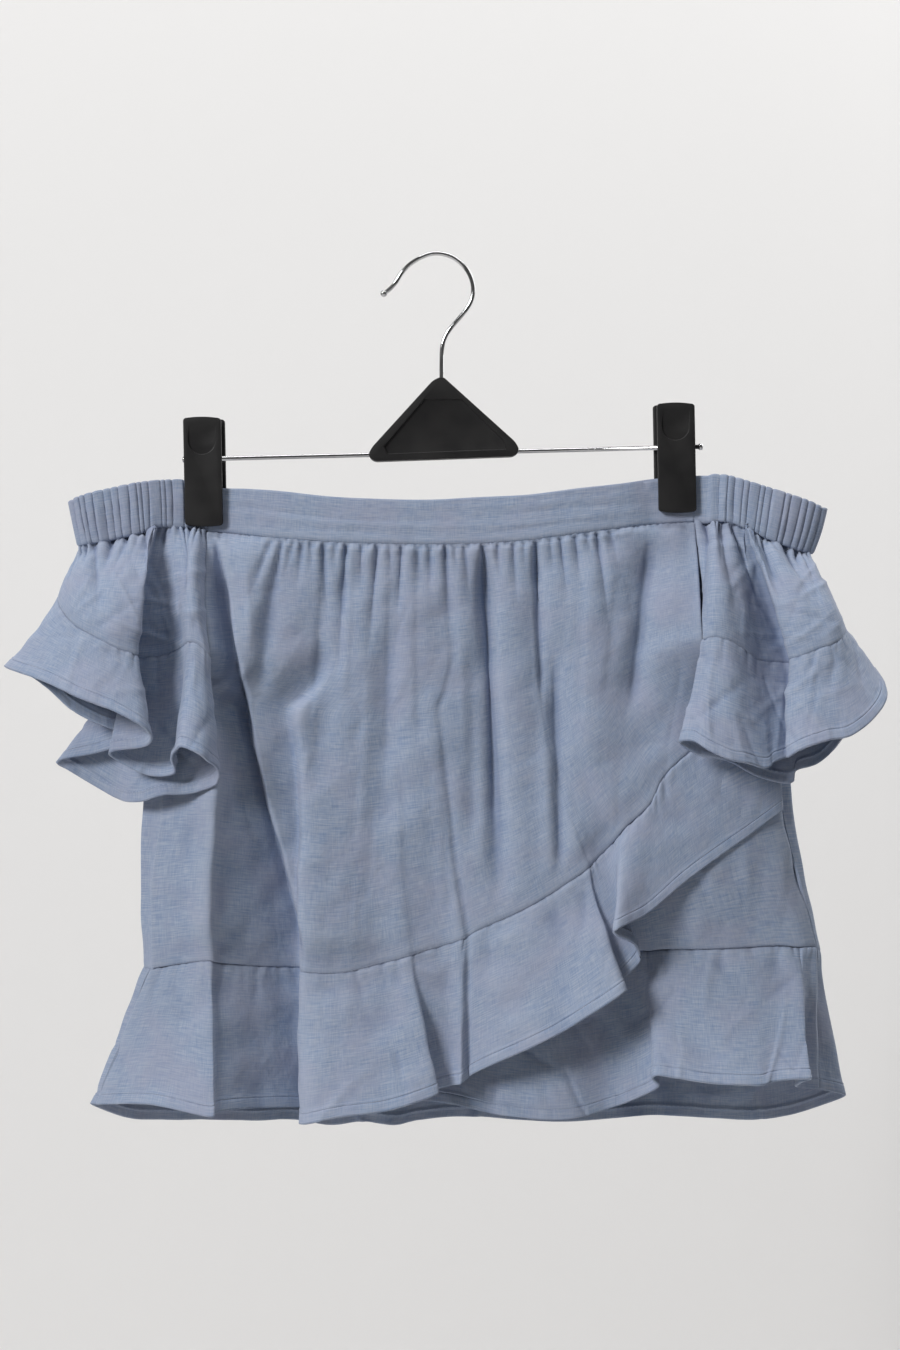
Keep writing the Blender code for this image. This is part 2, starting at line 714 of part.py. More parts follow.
def outline_prism(name, outline, depth, shift=0.0):
    """Upright plate from an outline of (x, z) points."""
    work = bmesh.new()
    front = [work.verts.new(Vector((x, shift - depth / 2, z)) * MM) for x, z in outline]
    face = work.faces.new(front)
    extruded = bmesh.ops.extrude_face_region(work, geom=[face])
    moved = [entry for entry in extruded["geom"] if isinstance(entry, bmesh.types.BMVert)]
    bmesh.ops.translate(work, verts=moved, vec=Vector((0, depth, 0)) * MM)
    bmesh.ops.recalc_face_normals(work, faces=work.faces)
    mesh = bpy.data.meshes.new(name)
    work.to_mesh(mesh)
    work.free()
    return mesh


def inset(outline, amount):
    """Outline with each edge moved in by the same amount; it runs counter-clockwise."""
    corners = [Vector(corner) for corner in outline]
    inner = []
    for index, corner in enumerate(corners):
        before = (corner - corners[index - 1]).normalized()
        after = (corners[(index + 1) % len(corners)] - corner).normalized()
        inward = Vector((-before.y - after.y, before.x + after.x))
        inner.append(tuple(corner + inward * amount / (1 + before.dot(after))))
    return inner


def rod_ends():
    return Vector((ROD_LEFT[0], 0, ROD_LEFT[1])), Vector((ROD_RIGHT[0], 0, ROD_RIGHT[1]))


def rod_point(x):
    start, end = rod_ends()
    return start.lerp(end, (x - start.x) / (end.x - start.x))


def build_block(group, cutters):
    plate = outline_prism("triangle_block", BLOCK_OUTLINE, BLOCK_DEPTH)
    block = link_object("triangle_block", plate, group, PLASTIC)
    soften = block.modifiers.new("soft", "BEVEL")
    soften.width = BLOCK_BEVEL * MM
    soften.segments = 2
    soften.limit_method = "ANGLE"
    inner = inset(BLOCK_OUTLINE, BLOCK_RIM)
    for side in (-1, 1):
        face = outline_prism(f"recess_{side}", inner, BLOCK_RECESS * 2, side * BLOCK_DEPTH / 2)
        boolean(block, cutter(f"recess_{side}", face, cutters))
    widths = [x for x, _z in BLOCK_OUTLINE]
    bore_start, bore_end = rod_point(min(widths) - BORE_OVERRUN), rod_point(max(widths) + BORE_OVERRUN)
    bore = cylinder_mesh("rod_bore", bore_start, bore_end, ROD_RADIUS + ROD_CLEARANCE, 24)
    boolean(block, cutter("rod_bore", bore, cutters))
    foot_x, foot_z = HOOK_PATH[-1]
    foot = Vector((foot_x, 0, foot_z - WIRE_FOOT_ROOM))
    above = Vector((foot_x, 0, foot_z + BORE_OVERRUN))
    wire = cylinder_mesh("wire_bore", above, foot, WIRE_RADIUS + ROD_CLEARANCE)
    boolean(block, cutter("wire_bore", wire, cutters))


def build_rod(group, cutters):
    start, end = rod_ends()
    rod = link_object("rod", cylinder_mesh("rod", start, end, ROD_RADIUS, 16), group, CHROME)
    heading = (end - start).normalized()
    for name, spot, outward in (("stop_left", start, -heading), ("stop_right", end, heading)):
        inner, outer = spot - outward * ROD_STOP_BITE, spot + outward * ROD_STOP_LENGTH
        boolean(rod, cutter(name, cylinder_mesh(name, inner, outer, ROD_STOP_RADIUS), cutters), "UNION")


def jaw_outline(middle, top, bottom, shift):
    half = CLIP_WIDTH / 2
    return ((middle - half + shift - CLIP_TAPER, top), (middle + half + shift - CLIP_TAPER, top),
            (middle + half + shift + CLIP_TAPER, bottom), (middle - half + shift + CLIP_TAPER, bottom))


def build_clip(side, group, cutters):
    middle, top, bottom = CLIPS[side]
    seat = rod_point(middle)
    for face, way, shift in (("front", -1, 0.0), ("back", 1, BACK_JAW_SHIFT * (1 if side == "left" else -1))):
        name = f"clip_{side}_{face}"
        depth = way * (JAW_GAP + JAW_THICKNESS / 2)
        plate = outline_prism(name, jaw_outline(middle, top, bottom, shift), JAW_THICKNESS, depth)
        jaw = link_object(name, plate, group, PLASTIC)
        soften = jaw.modifiers.new("soft", "BEVEL")
        soften.width = JAW_BEVEL * MM
        soften.segments = 2
        soften.limit_method = "ANGLE"
        if face == "front":
            outer = way * (JAW_GAP + JAW_THICKNESS)
            floor = Vector((middle - CLIP_TAPER, outer + THUMB_DEPTH, top - THUMB_DROP))
            outside = Vector((floor.x, outer - JAW_THICKNESS, floor.z))
            thumb = cylinder_mesh(f"{name}_thumb", floor, outside, THUMB_RADIUS, 24)
            boolean(jaw, cutter(f"{name}_thumb", thumb, cutters))
    half = (rod_point(middle + 1) - seat).normalized() * BARREL_LENGTH / 2
    name = f"clip_{side}_barrel"
    barrel = link_object(name, cylinder_mesh(name, seat - half, seat + half, BARREL_RADIUS, 16), group, CHROME)
    hole = cylinder_mesh(f"{name}_bore", seat - half * 2, seat + half * 2, ROD_RADIUS + ROD_CLEARANCE, 16)
    boolean(barrel, cutter(f"{name}_bore", hole, cutters))


clear_scene()
pieces = make_collection(CLOTH_PIECES)
tools = make_collection("cutters", cutters=True)

build_band("front_band", -1, pieces)
build_band("back_band", 1, pieces)
build_elastic("elastic_left", LEFT_ELASTIC_ROWS, LEFT_GATHERS, pieces)
build_elastic("elastic_right", RIGHT_ELASTIC_ROWS, RIGHT_GATHERS, pieces)
build_front(pieces)
build_lower_front(pieces)
build_back(pieces)
flounce("wrap_ruffle", WRAP_ROWS, 96, 3, pieces)
flounce("under_ruffle", UNDER_ROWS, 45, 2, pieces)
flounce("back_ruffle", BACK_ROWS, 51, 2, pieces)
build_sleeve("sleeve_left", LEFT_SLEEVE_ROWS, LEFT_FLOUNCE_ROWS, 48, pieces)
build_sleeve("sleeve_right", RIGHT_SLEEVE_ROWS, RIGHT_FLOUNCE_ROWS, 48, pieces)
flounce("sleeve_ruffle_left", LEFT_FLOUNCE_ROWS, 93, 2, pieces, closed=True)
flounce("sleeve_ruffle_right", RIGHT_FLOUNCE_ROWS, 72, 2, pieces, closed=True)
build_hook(pieces, tools)
build_block(pieces, tools)
build_rod(pieces, tools)
build_clip("left", pieces, tools)
build_clip("right", pieces, tools)
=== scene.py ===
"""Looks of a ruffled off-shoulder top held by a clip hanger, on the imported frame."""
import math

import bmesh
import bpy
import numpy as np
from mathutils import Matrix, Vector


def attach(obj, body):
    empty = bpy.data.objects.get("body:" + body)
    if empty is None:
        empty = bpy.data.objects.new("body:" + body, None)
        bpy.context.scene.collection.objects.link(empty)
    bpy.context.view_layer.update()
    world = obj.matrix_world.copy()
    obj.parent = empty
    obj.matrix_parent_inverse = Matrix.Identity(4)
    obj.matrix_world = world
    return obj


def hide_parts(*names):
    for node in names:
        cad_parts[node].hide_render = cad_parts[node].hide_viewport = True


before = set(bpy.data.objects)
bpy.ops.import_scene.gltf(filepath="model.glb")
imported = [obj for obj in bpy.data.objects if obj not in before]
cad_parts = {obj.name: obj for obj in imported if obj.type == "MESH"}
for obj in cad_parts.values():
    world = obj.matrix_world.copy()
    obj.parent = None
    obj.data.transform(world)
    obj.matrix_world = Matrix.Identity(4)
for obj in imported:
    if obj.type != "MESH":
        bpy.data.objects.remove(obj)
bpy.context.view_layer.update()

# Camera: level and straight in front of the garment. Its lens is worked out from the height that the frame
# spans there.
MM = 0.001
CAMERA_PLACE = (8.7, -1400.0, -252.4)
VIEW_HEIGHT = 810.0       # at the garment, in mm
SENSOR_SIZE = 36.0
CAMERA_REACH = 20.0       # in metres

scene = bpy.context.scene
camera_data = bpy.data.cameras.new("camera")
camera_data.sensor_width = SENSOR_SIZE
camera_data.lens = SENSOR_SIZE * -CAMERA_PLACE[1] / VIEW_HEIGHT
camera_data.clip_end = CAMERA_REACH
camera = bpy.data.objects.new("camera", camera_data)
camera.location = Vector(CAMERA_PLACE) * MM
camera.rotation_euler = (math.pi / 2, 0.0, 0.0)
scene.collection.objects.link(camera)
scene.camera = camera

# Hook: a bent steel wire, chromed and polished, with a small ball on its open end. It is bent cold from one
# length, and its straight end goes into the block, where it can turn.
WIRE_RADIUS = 1.35
HOOK_TIP_RADIUS = 2.1
# x, z of the wire from its open end over the top and down to the block
HOOK_PATH = (
    (-31, -23.5), (-25.5, -20), (-19, -8.5), (-10, -2), (0, 1.35), (11.5, -1.5), (19.5, -9.5), (23, -19),
    (22, -27.5), (18, -34), (10, -43), (5.5, -49.5), (3.8, -56), (3.6, -64), (3.6, -79),
)
CHROME_COLOUR = (0.58, 0.58, 0.59, 1.0)


def new_material(name):
    """A material, its nodes and links, its shader, and the place on the piece that its patterns read."""
    material = bpy.data.materials.new(name)
    material.use_nodes = True
    nodes, links = material.node_tree.nodes, material.node_tree.links
    place = nodes.new("ShaderNodeTexCoord").outputs["Object"]
    return material, nodes, links, nodes["Principled BSDF"], place


def add_noise(nodes, links, vector, scale, detail=3.0):
    noise = nodes.new("ShaderNodeTexNoise")
    noise.inputs["Scale"].default_value = scale
    noise.inputs["Detail"].default_value = detail
    links.new(vector, noise.inputs["Vector"])
    return noise.outputs["Fac"]


def remap(nodes, links, value, low, high, to_low, to_high):
    step = nodes.new("ShaderNodeMapRange")
    for socket, number in (("From Min", low), ("From Max", high), ("To Min", to_low), ("To Max", to_high)):
        step.inputs[socket].default_value = number
    links.new(value, step.inputs["Value"])
    return step.outputs["Result"]


def add_bump(nodes, links, height, distance, strength, under=None):
    bump = nodes.new("ShaderNodeBump")
    bump.inputs["Distance"].default_value = distance
    bump.inputs["Strength"].default_value = strength
    links.new(height, bump.inputs["Height"])
    if under is not None:
        links.new(under, bump.inputs["Normal"])
    return bump.outputs["Normal"]


def chrome():
    """Bright plating with a faint haze and fine draw marks."""
    material, nodes, links, shader, place = new_material("chrome")
    shader.inputs["Base Color"].default_value = CHROME_COLOUR
    shader.inputs["Metallic"].default_value = 1.0
    haze = add_noise(nodes, links, place, 220.0)
    links.new(remap(nodes, links, haze, 0.3, 0.7, 0.06, 0.16), shader.inputs["Roughness"])
    drawn = add_noise(nodes, links, place, 900.0)
    links.new(add_bump(nodes, links, drawn, 0.00003, 0.3), shader.inputs["Normal"])
    return material


def mesh_object(name, work, material, smooth=True):
    for face in work.faces:
        face.smooth = smooth
    mesh = bpy.data.meshes.new(name)
    work.to_mesh(mesh)
    work.free()
    item = bpy.data.objects.new(name, mesh)
    scene.collection.objects.link(item)
    mesh.materials.append(material)
    return item


def wire_curve(name, points, radius, sides):
    curve = bpy.data.curves.new(name, "CURVE")
    curve.dimensions = "3D"
    curve.bevel_depth = radius * MM
    curve.bevel_resolution = sides // 4
    curve.use_fill_caps = True
    curve.resolution_u = 8
    line = curve.splines.new("NURBS")
    line.points.add(len(points) - 1)
    for spot, point in zip(line.points, points):
        spot.co = (*(Vector(point) * MM), 1.0)
    line.use_endpoint_u = True
    line.order_u = 3
    item = bpy.data.objects.new(name, curve)
    scene.collection.objects.link(item)
    graph = bpy.context.evaluated_depsgraph_get()
    mesh = bpy.data.meshes.new_from_object(item.evaluated_get(graph))
    bpy.data.objects.remove(item, do_unlink=True)
    return mesh


def finish_piece(item, slot, *nodes):
    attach(item, "root")
    if nodes:
        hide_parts(*nodes)


chrome_finish = chrome()
work = bmesh.new()
work.from_mesh(wire_curve("hook_wire", [(x, 0, z) for x, z in HOOK_PATH], WIRE_RADIUS, 24))
bmesh.ops.remove_doubles(work, verts=work.verts, dist=0.00001)
ball = bmesh.ops.create_uvsphere(work, u_segments=24, v_segments=16, radius=HOOK_TIP_RADIUS * MM)
bmesh.ops.translate(work, verts=ball["verts"], vec=Vector((HOOK_PATH[0][0], 0, HOOK_PATH[0][1])) * MM)
hook = mesh_object("hook_wire", work, chrome_finish)
finish_piece(hook, "chrome_wire", "hook")

# Block: a moulded triangle of matt black plastic that holds the hook's wire and the rod. A raised rim and a
# solid tip frame a shallow bare panel on both faces.
BLOCK_OUTLINE = (
    (4.2, -73.5), (-1.5, -76), (-38, -116), (-40.5, -121), (-37, -124.5), (47, -121.5), (50.5, -118),
    (48, -113),
)
BLOCK_PANEL = ((-6.6, -87.6), (-30.5, -115.6), (-28.6, -120.2), (42.4, -117.4), (40.6, -112.0), (15.6, -87.6))
BLOCK_DEPTH = 9.0
BLOCK_CORNER = 2.2
BLOCK_RECESS = 1.2
BLOCK_SOFTNESS = 0.6
PLASTIC_COLOUR = (0.012, 0.012, 0.013, 1.0)
PLASTIC_WORN = (0.022, 0.021, 0.021, 1.0)


def mix(nodes, links, factor, first, second):
    """Blends two colours; each is a value or a socket."""
    blend = nodes.new("ShaderNodeMixRGB")
    links.new(factor, blend.inputs["Fac"])
    for label, colour in (("Color1", first), ("Color2", second)):
        if isinstance(colour, tuple):
            blend.inputs[label].default_value = colour
        else:
            links.new(colour, blend.inputs[label])
    return blend.outputs["Color"]


def black_plastic():
    """Matt moulded plastic with a fine grain, a little paler where hands have rubbed it."""
    material, nodes, links, shader, place = new_material("black_plastic")
    grain = add_noise(nodes, links, place, 1500.0, 2.0)
    smears = add_noise(nodes, links, place, 70.0, 4.0)
    links.new(mix(nodes, links, smears, PLASTIC_COLOUR, PLASTIC_WORN), shader.inputs["Base Color"])
    links.new(remap(nodes, links, smears, 0.3, 0.7, 0.42, 0.58), shader.inputs["Roughness"])
    shader.inputs["Specular IOR Level"].default_value = 0.27
    links.new(add_bump(nodes, links, grain, 0.00005, 0.5), shader.inputs["Normal"])
    return material


def plate(outline, depth, middle_y):
    """Upright plate from an outline of (x, z) points, as a bmesh."""
    work = bmesh.new()
    rim = [work.verts.new(Vector((x, middle_y - depth / 2, z)) * MM) for x, z in outline]
    face = work.faces.new(rim)
    grown = bmesh.ops.extrude_face_region(work, geom=[face])
    moved = [entry for entry in grown["geom"] if isinstance(entry, bmesh.types.BMVert)]
    bmesh.ops.translate(work, verts=moved, vec=Vector((0, depth, 0)) * MM)
    bmesh.ops.recalc_face_normals(work, faces=work.faces)
    return work


def round_corners(work, depth, radius, segments, least_angle=0.0):
    """Rounds a plate's upright corners."""
    corners = [edge for edge in work.edges if abs(edge.verts[0].co.y - edge.verts[1].co.y) > depth * MM / 2
               and edge.calc_face_angle(0.0) >= least_angle]
    bmesh.ops.bevel(work, geom=corners, offset=radius * MM, segments=segments, profile=0.5, affect="EDGES")


def soften(item, width):
    """Rounds a piece's sharp edges a little, as a mould does."""
    bevel = item.modifiers.new("soft", "BEVEL")
    bevel.width = width * MM
    bevel.segments = 4
    bevel.limit_method = "ANGLE"
    bevel.angle_limit = math.radians(28)


def carve(item, cutters):
    """Takes each cutter, a bmesh, out of the piece."""
    for work in cutters:
        cutter = mesh_object("cutter", work, plastic_finish)
        cut = item.modifiers.new("cut", "BOOLEAN")
        cut.operation = "DIFFERENCE"
        cut.solver = "EXACT"
        cut.object = cutter
        carved = bpy.data.meshes.new_from_object(item.evaluated_get(bpy.context.evaluated_depsgraph_get()))
        item.modifiers.clear()
        item.data = carved
        bpy.data.objects.remove(cutter, do_unlink=True)


plastic_finish = black_plastic()
work = plate(BLOCK_OUTLINE, BLOCK_DEPTH, 0.0)
round_corners(work, BLOCK_DEPTH, BLOCK_CORNER, 4)
block = mesh_object("block", work, plastic_finish)
carve(block, [plate(BLOCK_PANEL, 2 * BLOCK_RECESS, way * BLOCK_DEPTH / 2) for way in (-1, 1)])
soften(block, BLOCK_SOFTNESS)
finish_piece(block, "black_plastic", "triangle_block")

# Rod: a thin chromed steel rod, drawn and cut, pushed through the block. Its ends are swaged into round stops
# that keep the clips on it.
ROD_RADIUS = 1.4
ROD_LEFT = (-149.5, -123.1)
ROD_RIGHT = (158.0, -115.5)
ROD_STOP_RADIUS = 2.1
ROD_STOP_LENGTH = 2.4
TURNED_SIDES = 32


def rod_point(x):
    share = (x - ROD_LEFT[0]) / (ROD_RIGHT[0] - ROD_LEFT[0])
    return Vector((x, 0.0, ROD_LEFT[1] + (ROD_RIGHT[1] - ROD_LEFT[1]) * share))


def lathe(name, start, heading, profile, material):
    """Turned piece: profile of (distance along the heading, radius), closed at both ends."""
    turn = Vector(heading).to_track_quat("Z", "Y")
    angles = [2 * math.pi * step / TURNED_SIDES for step in range(TURNED_SIDES)]
    work = bmesh.new()
    rings = []
    for reach, radius in profile:
        spots = [Vector((radius * math.cos(angle), radius * math.sin(angle), reach)) for angle in angles]
        rings.append([work.verts.new((start + turn @ spot) * MM) for spot in spots])
    for low, high in zip(rings, rings[1:]):
        for step in range(TURNED_SIDES):
            after = (step + 1) % TURNED_SIDES
            work.faces.new((low[step], low[after], high[after], high[step]))
    work.faces.new(list(reversed(rings[0])))
    work.faces.new(rings[-1])
    return mesh_object(name, work, material)


rod_start, rod_end = rod_point(ROD_LEFT[0]), rod_point(ROD_RIGHT[0])
rod_heading = (rod_end - rod_start).normalized()
rod_length = (rod_end - rod_start).length
ROD_PROFILE = (
    (-ROD_STOP_LENGTH, 0.9), (-ROD_STOP_LENGTH + 0.3, 1.7), (-ROD_STOP_LENGTH + 0.9, ROD_STOP_RADIUS),
    (-0.5, ROD_STOP_RADIUS), (0.0, 1.9), (0.4, ROD_RADIUS), (rod_length - 0.4, ROD_RADIUS), (rod_length, 1.9),
    (rod_length + 0.5, ROD_STOP_RADIUS), (rod_length + ROD_STOP_LENGTH - 0.9, ROD_STOP_RADIUS),
    (rod_length + ROD_STOP_LENGTH - 0.3, 1.7), (rod_length + ROD_STOP_LENGTH, 0.9),
)
rod = lathe("rod_turned", rod_start, rod_heading, ROD_PROFILE, chrome_finish)
finish_piece(rod, "chrome_wire", "rod")

# Clips: two moulded jaws of matt black plastic each, hung on the rod. The front one has a thumb dish, deepest
# at its lower lip. A steel barrel round the rod presses the jaws shut on the cloth.
# x of the middle, z of the top, z of the bottom
CLIPS = {"left": (-139.0, -99.0, -162.6), "right": (144.2, -90.5, -154.4)}
CLIP_WIDTH = 22.6
CLIP_TAPER = 0.6
JAW_THICKNESS = 3.4
JAW_GAP = 2.5
JAW_BOW = 1.0             # how far the ends of a jaw bow out
JAW_CORNER = 1.6
JAW_CORNER_ANGLE = 0.8    # the bowed ends' own small bends stay as they are
BACK_JAW_SHIFT = {"left": 1.6, "right": -1.6}
JAW_SOFTNESS = {"front": 0.5, "back": 0.9}
THUMB_WIDTH, THUMB_HEIGHT = 16.0, 19.5
THUMB_TOP = 2.0           # how far below the jaw's top the dish begins
THUMB_LIP = 1.5           # depth of the dish at its lower lip
THUMB_RUN_OUT = 0.1       # how far above the face its floor ends at the top
THUMB_CUTTER = 6.0
BARREL_RADIUS = 2.2
BARREL_LENGTH = 15.0
BARREL_CHAMFER = 0.3


def jaw_outline(middle, top, bottom):
    """A slightly slanting upright rectangle with bowed ends."""
    half = CLIP_WIDTH / 2
    steps = [step / 6 for step in range(-6, 7)]
    upper = [(middle - CLIP_TAPER + half * s, top + JAW_BOW * (1 - s * s)) for s in steps]
    lower = [(middle + CLIP_TAPER - half * s, bottom - JAW_BOW * (1 - s * s)) for s in steps]
    return upper + lower


def thumb_dish(middle, top, face_y):
    """The cutter for the dish: an upright U-shaped plate whose inner face slants."""
    half, start, centre = THUMB_WIDTH / 2, top - THUMB_TOP, face_y - THUMB_CUTTER / 2
    low = start - THUMB_HEIGHT + half
    outline = [(middle + half, start), (middle - half, start)]
    outline += [(middle - half * math.cos(turn), low - half * math.sin(turn))
                for turn in (math.pi * step / 24 for step in range(25))]
    work = plate(outline, THUMB_CUTTER, centre)
    for vertex in work.verts:
        if vertex.co.y > centre * MM:
            depth = THUMB_LIP * (start - vertex.co.z / MM) / THUMB_HEIGHT
            vertex.co.y = (face_y - THUMB_RUN_OUT + depth) * MM
    return work


BARREL_PROFILE = (
    (0.0, BARREL_RADIUS - BARREL_CHAMFER), (BARREL_CHAMFER, BARREL_RADIUS),
    (BARREL_LENGTH - BARREL_CHAMFER, BARREL_RADIUS), (BARREL_LENGTH, BARREL_RADIUS - BARREL_CHAMFER),
)
for side, (middle, top, bottom) in CLIPS.items():
    for face, way, shift in (("front", -1, 0.0), ("back", 1, BACK_JAW_SHIFT[side])):
        jaw_y = way * (JAW_GAP + JAW_THICKNESS / 2)
        work = plate(jaw_outline(middle + shift, top, bottom), JAW_THICKNESS, jaw_y)
        round_corners(work, JAW_THICKNESS, JAW_CORNER, 5, JAW_CORNER_ANGLE)
        jaw = mesh_object(f"clip_{side}_{face}_jaw", work, plastic_finish)
        if face == "front":
            carve(jaw, [thumb_dish(middle - CLIP_TAPER, top, -(JAW_GAP + JAW_THICKNESS))])
        soften(jaw, JAW_SOFTNESS[face])
        finish_piece(jaw, "black_plastic", f"clip_{side}_{face}")
    barrel_start = rod_point(middle) - rod_heading * BARREL_LENGTH / 2
    barrel = lathe(f"clip_{side}_spring", barrel_start, rod_heading, BARREL_PROFILE, chrome_finish)
    finish_piece(barrel, "chrome_wire", f"clip_{side}_barrel")

# Neck band: a doubled straight strip of chambray, 26 mm wide, sewn to the gathered front and back.
# It is flat in the clips and bows apart between them, and its press lines run along it.
CLOTH_WALL = 0.5
BAND_WALL = 1.1
CLOTH_BLUE = (0.186, 0.256, 0.398, 1.0)
CLOTH_PALE = (0.372, 0.418, 0.512, 1.0)
CLOTH_LILAC = (0.322, 0.326, 0.426, 1.0)
# painted shade: the colour that the cloth's grooves are tinted towards
CLOTH_GROOVE_SHADE = (0.118, 0.160, 0.275, 1.0)
SEAM_TURN = 1.6           # how far a sewn edge turns in behind the cloth
SEAM_REACH = 0.3          # how far it rounds out before it turns
SEAM_SINK = 0.75          # how deep a sewn edge is drawn in
SIDE_SEAM_SINK = 0.35
SEAM_BRINK = 0.55         # how far before its edge the cloth starts to sink
HEM_WALL = 1.4            # cloth turned up double
CREASE_BREADTH = 0.05     # how far a sharp crease spreads to each side, in the range of its noise
CREST_HEIGHT = 1.1        # what counts as a full crest or groove for the painted highlight and painted shade, in mm above the cloth around it
CREST_SPAN = 5            # points to each side that count as around it
SWELL_LENGTHS = (95.0, 70.0, 52.0, 38.0, 28.0, 21.0)
CRUMPLE_CREASES = 60
CRUMPLE_HOLD = 12.0       # how far from a sewn edge the swells reach their full height
# threads to a metre across and down the cloth as noise scales, and the noise's detail
WEFT, WARP, SLUBS = (95.0, 1650.0, 1.5), (1500.0, 130.0, 1.5), (34.0, 900.0, 1.0)
WARP_SHARE = 0.6          # how much the warp shows beside the weft
# x, depth in front of or behind the middle plane, top z, bottom z
BAND_ROWS = (
    (-137, 1.4, -140, -165.5), (-125, 1.5, -140.5, -166.5), (-112, 5, -141, -168), (-93, 9, -142.5, -170),
    (-63, 12, -146, -172.5), (-34, 13, -147.5, -173.5), (-4, 13, -148, -174), (25, 13, -146.5, -173.5),
    (55, 13, -145, -171.5), (85, 11, -141, -167.5), (110, 7, -138, -164), (129, 1.8, -135, -161.5),
    (143, 1.4, -134, -160.5), (155, 1.4, -133, -160),
)
BACK_BAND_DROP = 2.0
BACK_BAND_BULGE = 0.75
BAND_LEAN = 3.5           # how far its top leans back between the clips
BAND_WIDTH = 26.0
BAND_MESH = (170, 20)
# Press lines: place as a share of the band's width, line width, height, waves along the band
BAND_CREASES = (
    (0.22, 1.3, 0.30, 1.3), (0.46, 1.0, -0.40, 2.1), (0.63, 1.6, 0.35, 0.7), (0.80, 1.0, -0.30, 3.0),
)


def crease_lines(nodes, links, place, turn, scale):
    """Narrow grooves along the level lines of a drawn-out noise, as washed cotton's sharp creases run."""
    drawn = nodes.new("ShaderNodeMapping")
    drawn.inputs["Rotation"].default_value = (0.0, turn, 0.0)
    drawn.inputs["Scale"].default_value = (1.0, 1.0, 0.35)
    links.new(place, drawn.inputs["Vector"])
    field = add_noise(nodes, links, drawn.outputs["Vector"], scale, 0.0)
    groove = nodes.new("ShaderNodeMath")
    groove.operation = "ADD"
    links.new(remap(nodes, links, field, 0.5 - CREASE_BREADTH, 0.5, 1.0, 0.0), groove.inputs[0])
    links.new(remap(nodes, links, field, 0.5, 0.5 + CREASE_BREADTH, 0.0, 1.0), groove.inputs[1])
    return groove.outputs["Value"]


def chambray():
    """Washed woven cotton: blue and pale threads with slubs, with a painted highlight on crests and painted
    shade in grooves.
    """
    material, nodes, links, shader, place = new_material("chambray")
    spread = nodes.new("ShaderNodeUVMap")
    spread.uv_map = "cloth"

    def threads(across, down, detail):
        stretch = nodes.new("ShaderNodeMapping")
        stretch.inputs["Scale"].default_value = (across, down, 1.0)
        links.new(spread.outputs["UV"], stretch.inputs["Vector"])
        return add_noise(nodes, links, stretch.outputs["Vector"], 1.0, detail)

    def tint(colour, other, value, start, end, most):
        """Blends one colour towards another as the value goes from start to end."""
        return mix(nodes, links, remap(nodes, links, value, start, end, 0.0, most), colour, other)

    weave = nodes.new("ShaderNodeMath")
    weave.operation = "MULTIPLY_ADD"
    weave.inputs[1].default_value = WARP_SHARE
    links.new(threads(*WARP), weave.inputs[0])
    links.new(threads(*WEFT), weave.inputs[2])
    crest = nodes.new("ShaderNodeAttribute")
    crest.attribute_name = "crest"
    patches = add_noise(nodes, links, place, 34.0, 4.0)
    colour = tint(CLOTH_BLUE, CLOTH_PALE, weave.outputs["Value"], 0.48, 1.12, 1.0)
    colour = tint(colour, CLOTH_PALE, threads(*SLUBS), 0.6, 0.75, 0.2)
    colour = tint(colour, CLOTH_LILAC, patches, 0.42, 0.66, 0.4)
    # painted highlight on the crests of folds and painted shade in their grooves, from the crest attribute
    colour = tint(colour, CLOTH_PALE, crest.outputs["Fac"], 0.1, 1.0, 0.28)
    colour = tint(colour, CLOTH_GROOVE_SHADE, crest.outputs["Fac"], -0.15, -1.0, 0.4)
    links.new(colour, shader.inputs["Base Color"])
    shader.inputs["Roughness"].default_value = 0.86
    shader.inputs["Specular IOR Level"].default_value = 0.25
    shader.inputs["Sheen Weight"].default_value = 0.12
    shader.inputs["Sheen Roughness"].default_value = 0.5
    crumpled = add_bump(nodes, links, add_noise(nodes, links, place, 60.0, 5.0), 0.0030, 0.5)
    for turn, scale in ((0.5, 17.0), (-0.8, 21.0)):
        lines = crease_lines(nodes, links, place, turn, scale)
        crumpled = add_bump(nodes, links, lines, 0.0008, 0.2, crumpled)
    crumpled = add_bump(nodes, links, add_noise(nodes, links, place, 170.0, 2.0), 0.0004, 0.3, crumpled)
    links.new(add_bump(nodes, links, weave.outputs["Value"], 0.00007, 0.4, crumpled), shader.inputs["Normal"])
    return material


def ease(t):
    t = np.clip(t, 0.0, 1.0)
    return t * t * (3.0 - 2.0 * t)


def follow(rows, t, ring=False):
    """Smooth curve through the rows of a table; t counts the rows."""
    rows, t = np.asarray(rows, float), np.asarray(t, float)
    count = len(rows)
    if ring:
        start = np.floor(t).astype(int)
        before, here, there, after = (rows[(start + step) % count] for step in (-1, 0, 1, 2))
    else:
        t = np.clip(t, 0, count - 1)
        start = np.minimum(np.floor(t).astype(int), count - 2)
        longer = np.concatenate([[2 * rows[0] - rows[1]], rows, [2 * rows[-1] - rows[-2]]])
        before, here, there, after = (longer[start + step] for step in range(4))
    part = (t - start)[..., None]
    square, cube = part ** 2, part ** 3
    return (here * (2 * cube - 3 * square + 1) + (there - before) * 0.5 * (cube - 2 * square + part)
            + there * (3 * square - 2 * cube) + (after - here) * 0.5 * (cube - square))


def follow_length(points, share):
    """The same curve, with its places given as shares of the length."""
    points = np.asarray(points, float)
    reach = np.concatenate([[0], np.cumsum(np.linalg.norm(np.diff(points, axis=0), axis=1))])
    return follow(points, np.interp(np.asarray(share) * reach[-1], reach, np.arange(len(points))))


def shares(columns, rows):
    return np.meshgrid(np.linspace(0, 1, columns + 1), np.linspace(0, 1, rows + 1))


def unit(vectors):
    return vectors / np.maximum(np.linalg.norm(vectors, axis=-1, keepdims=True), 1e-9)


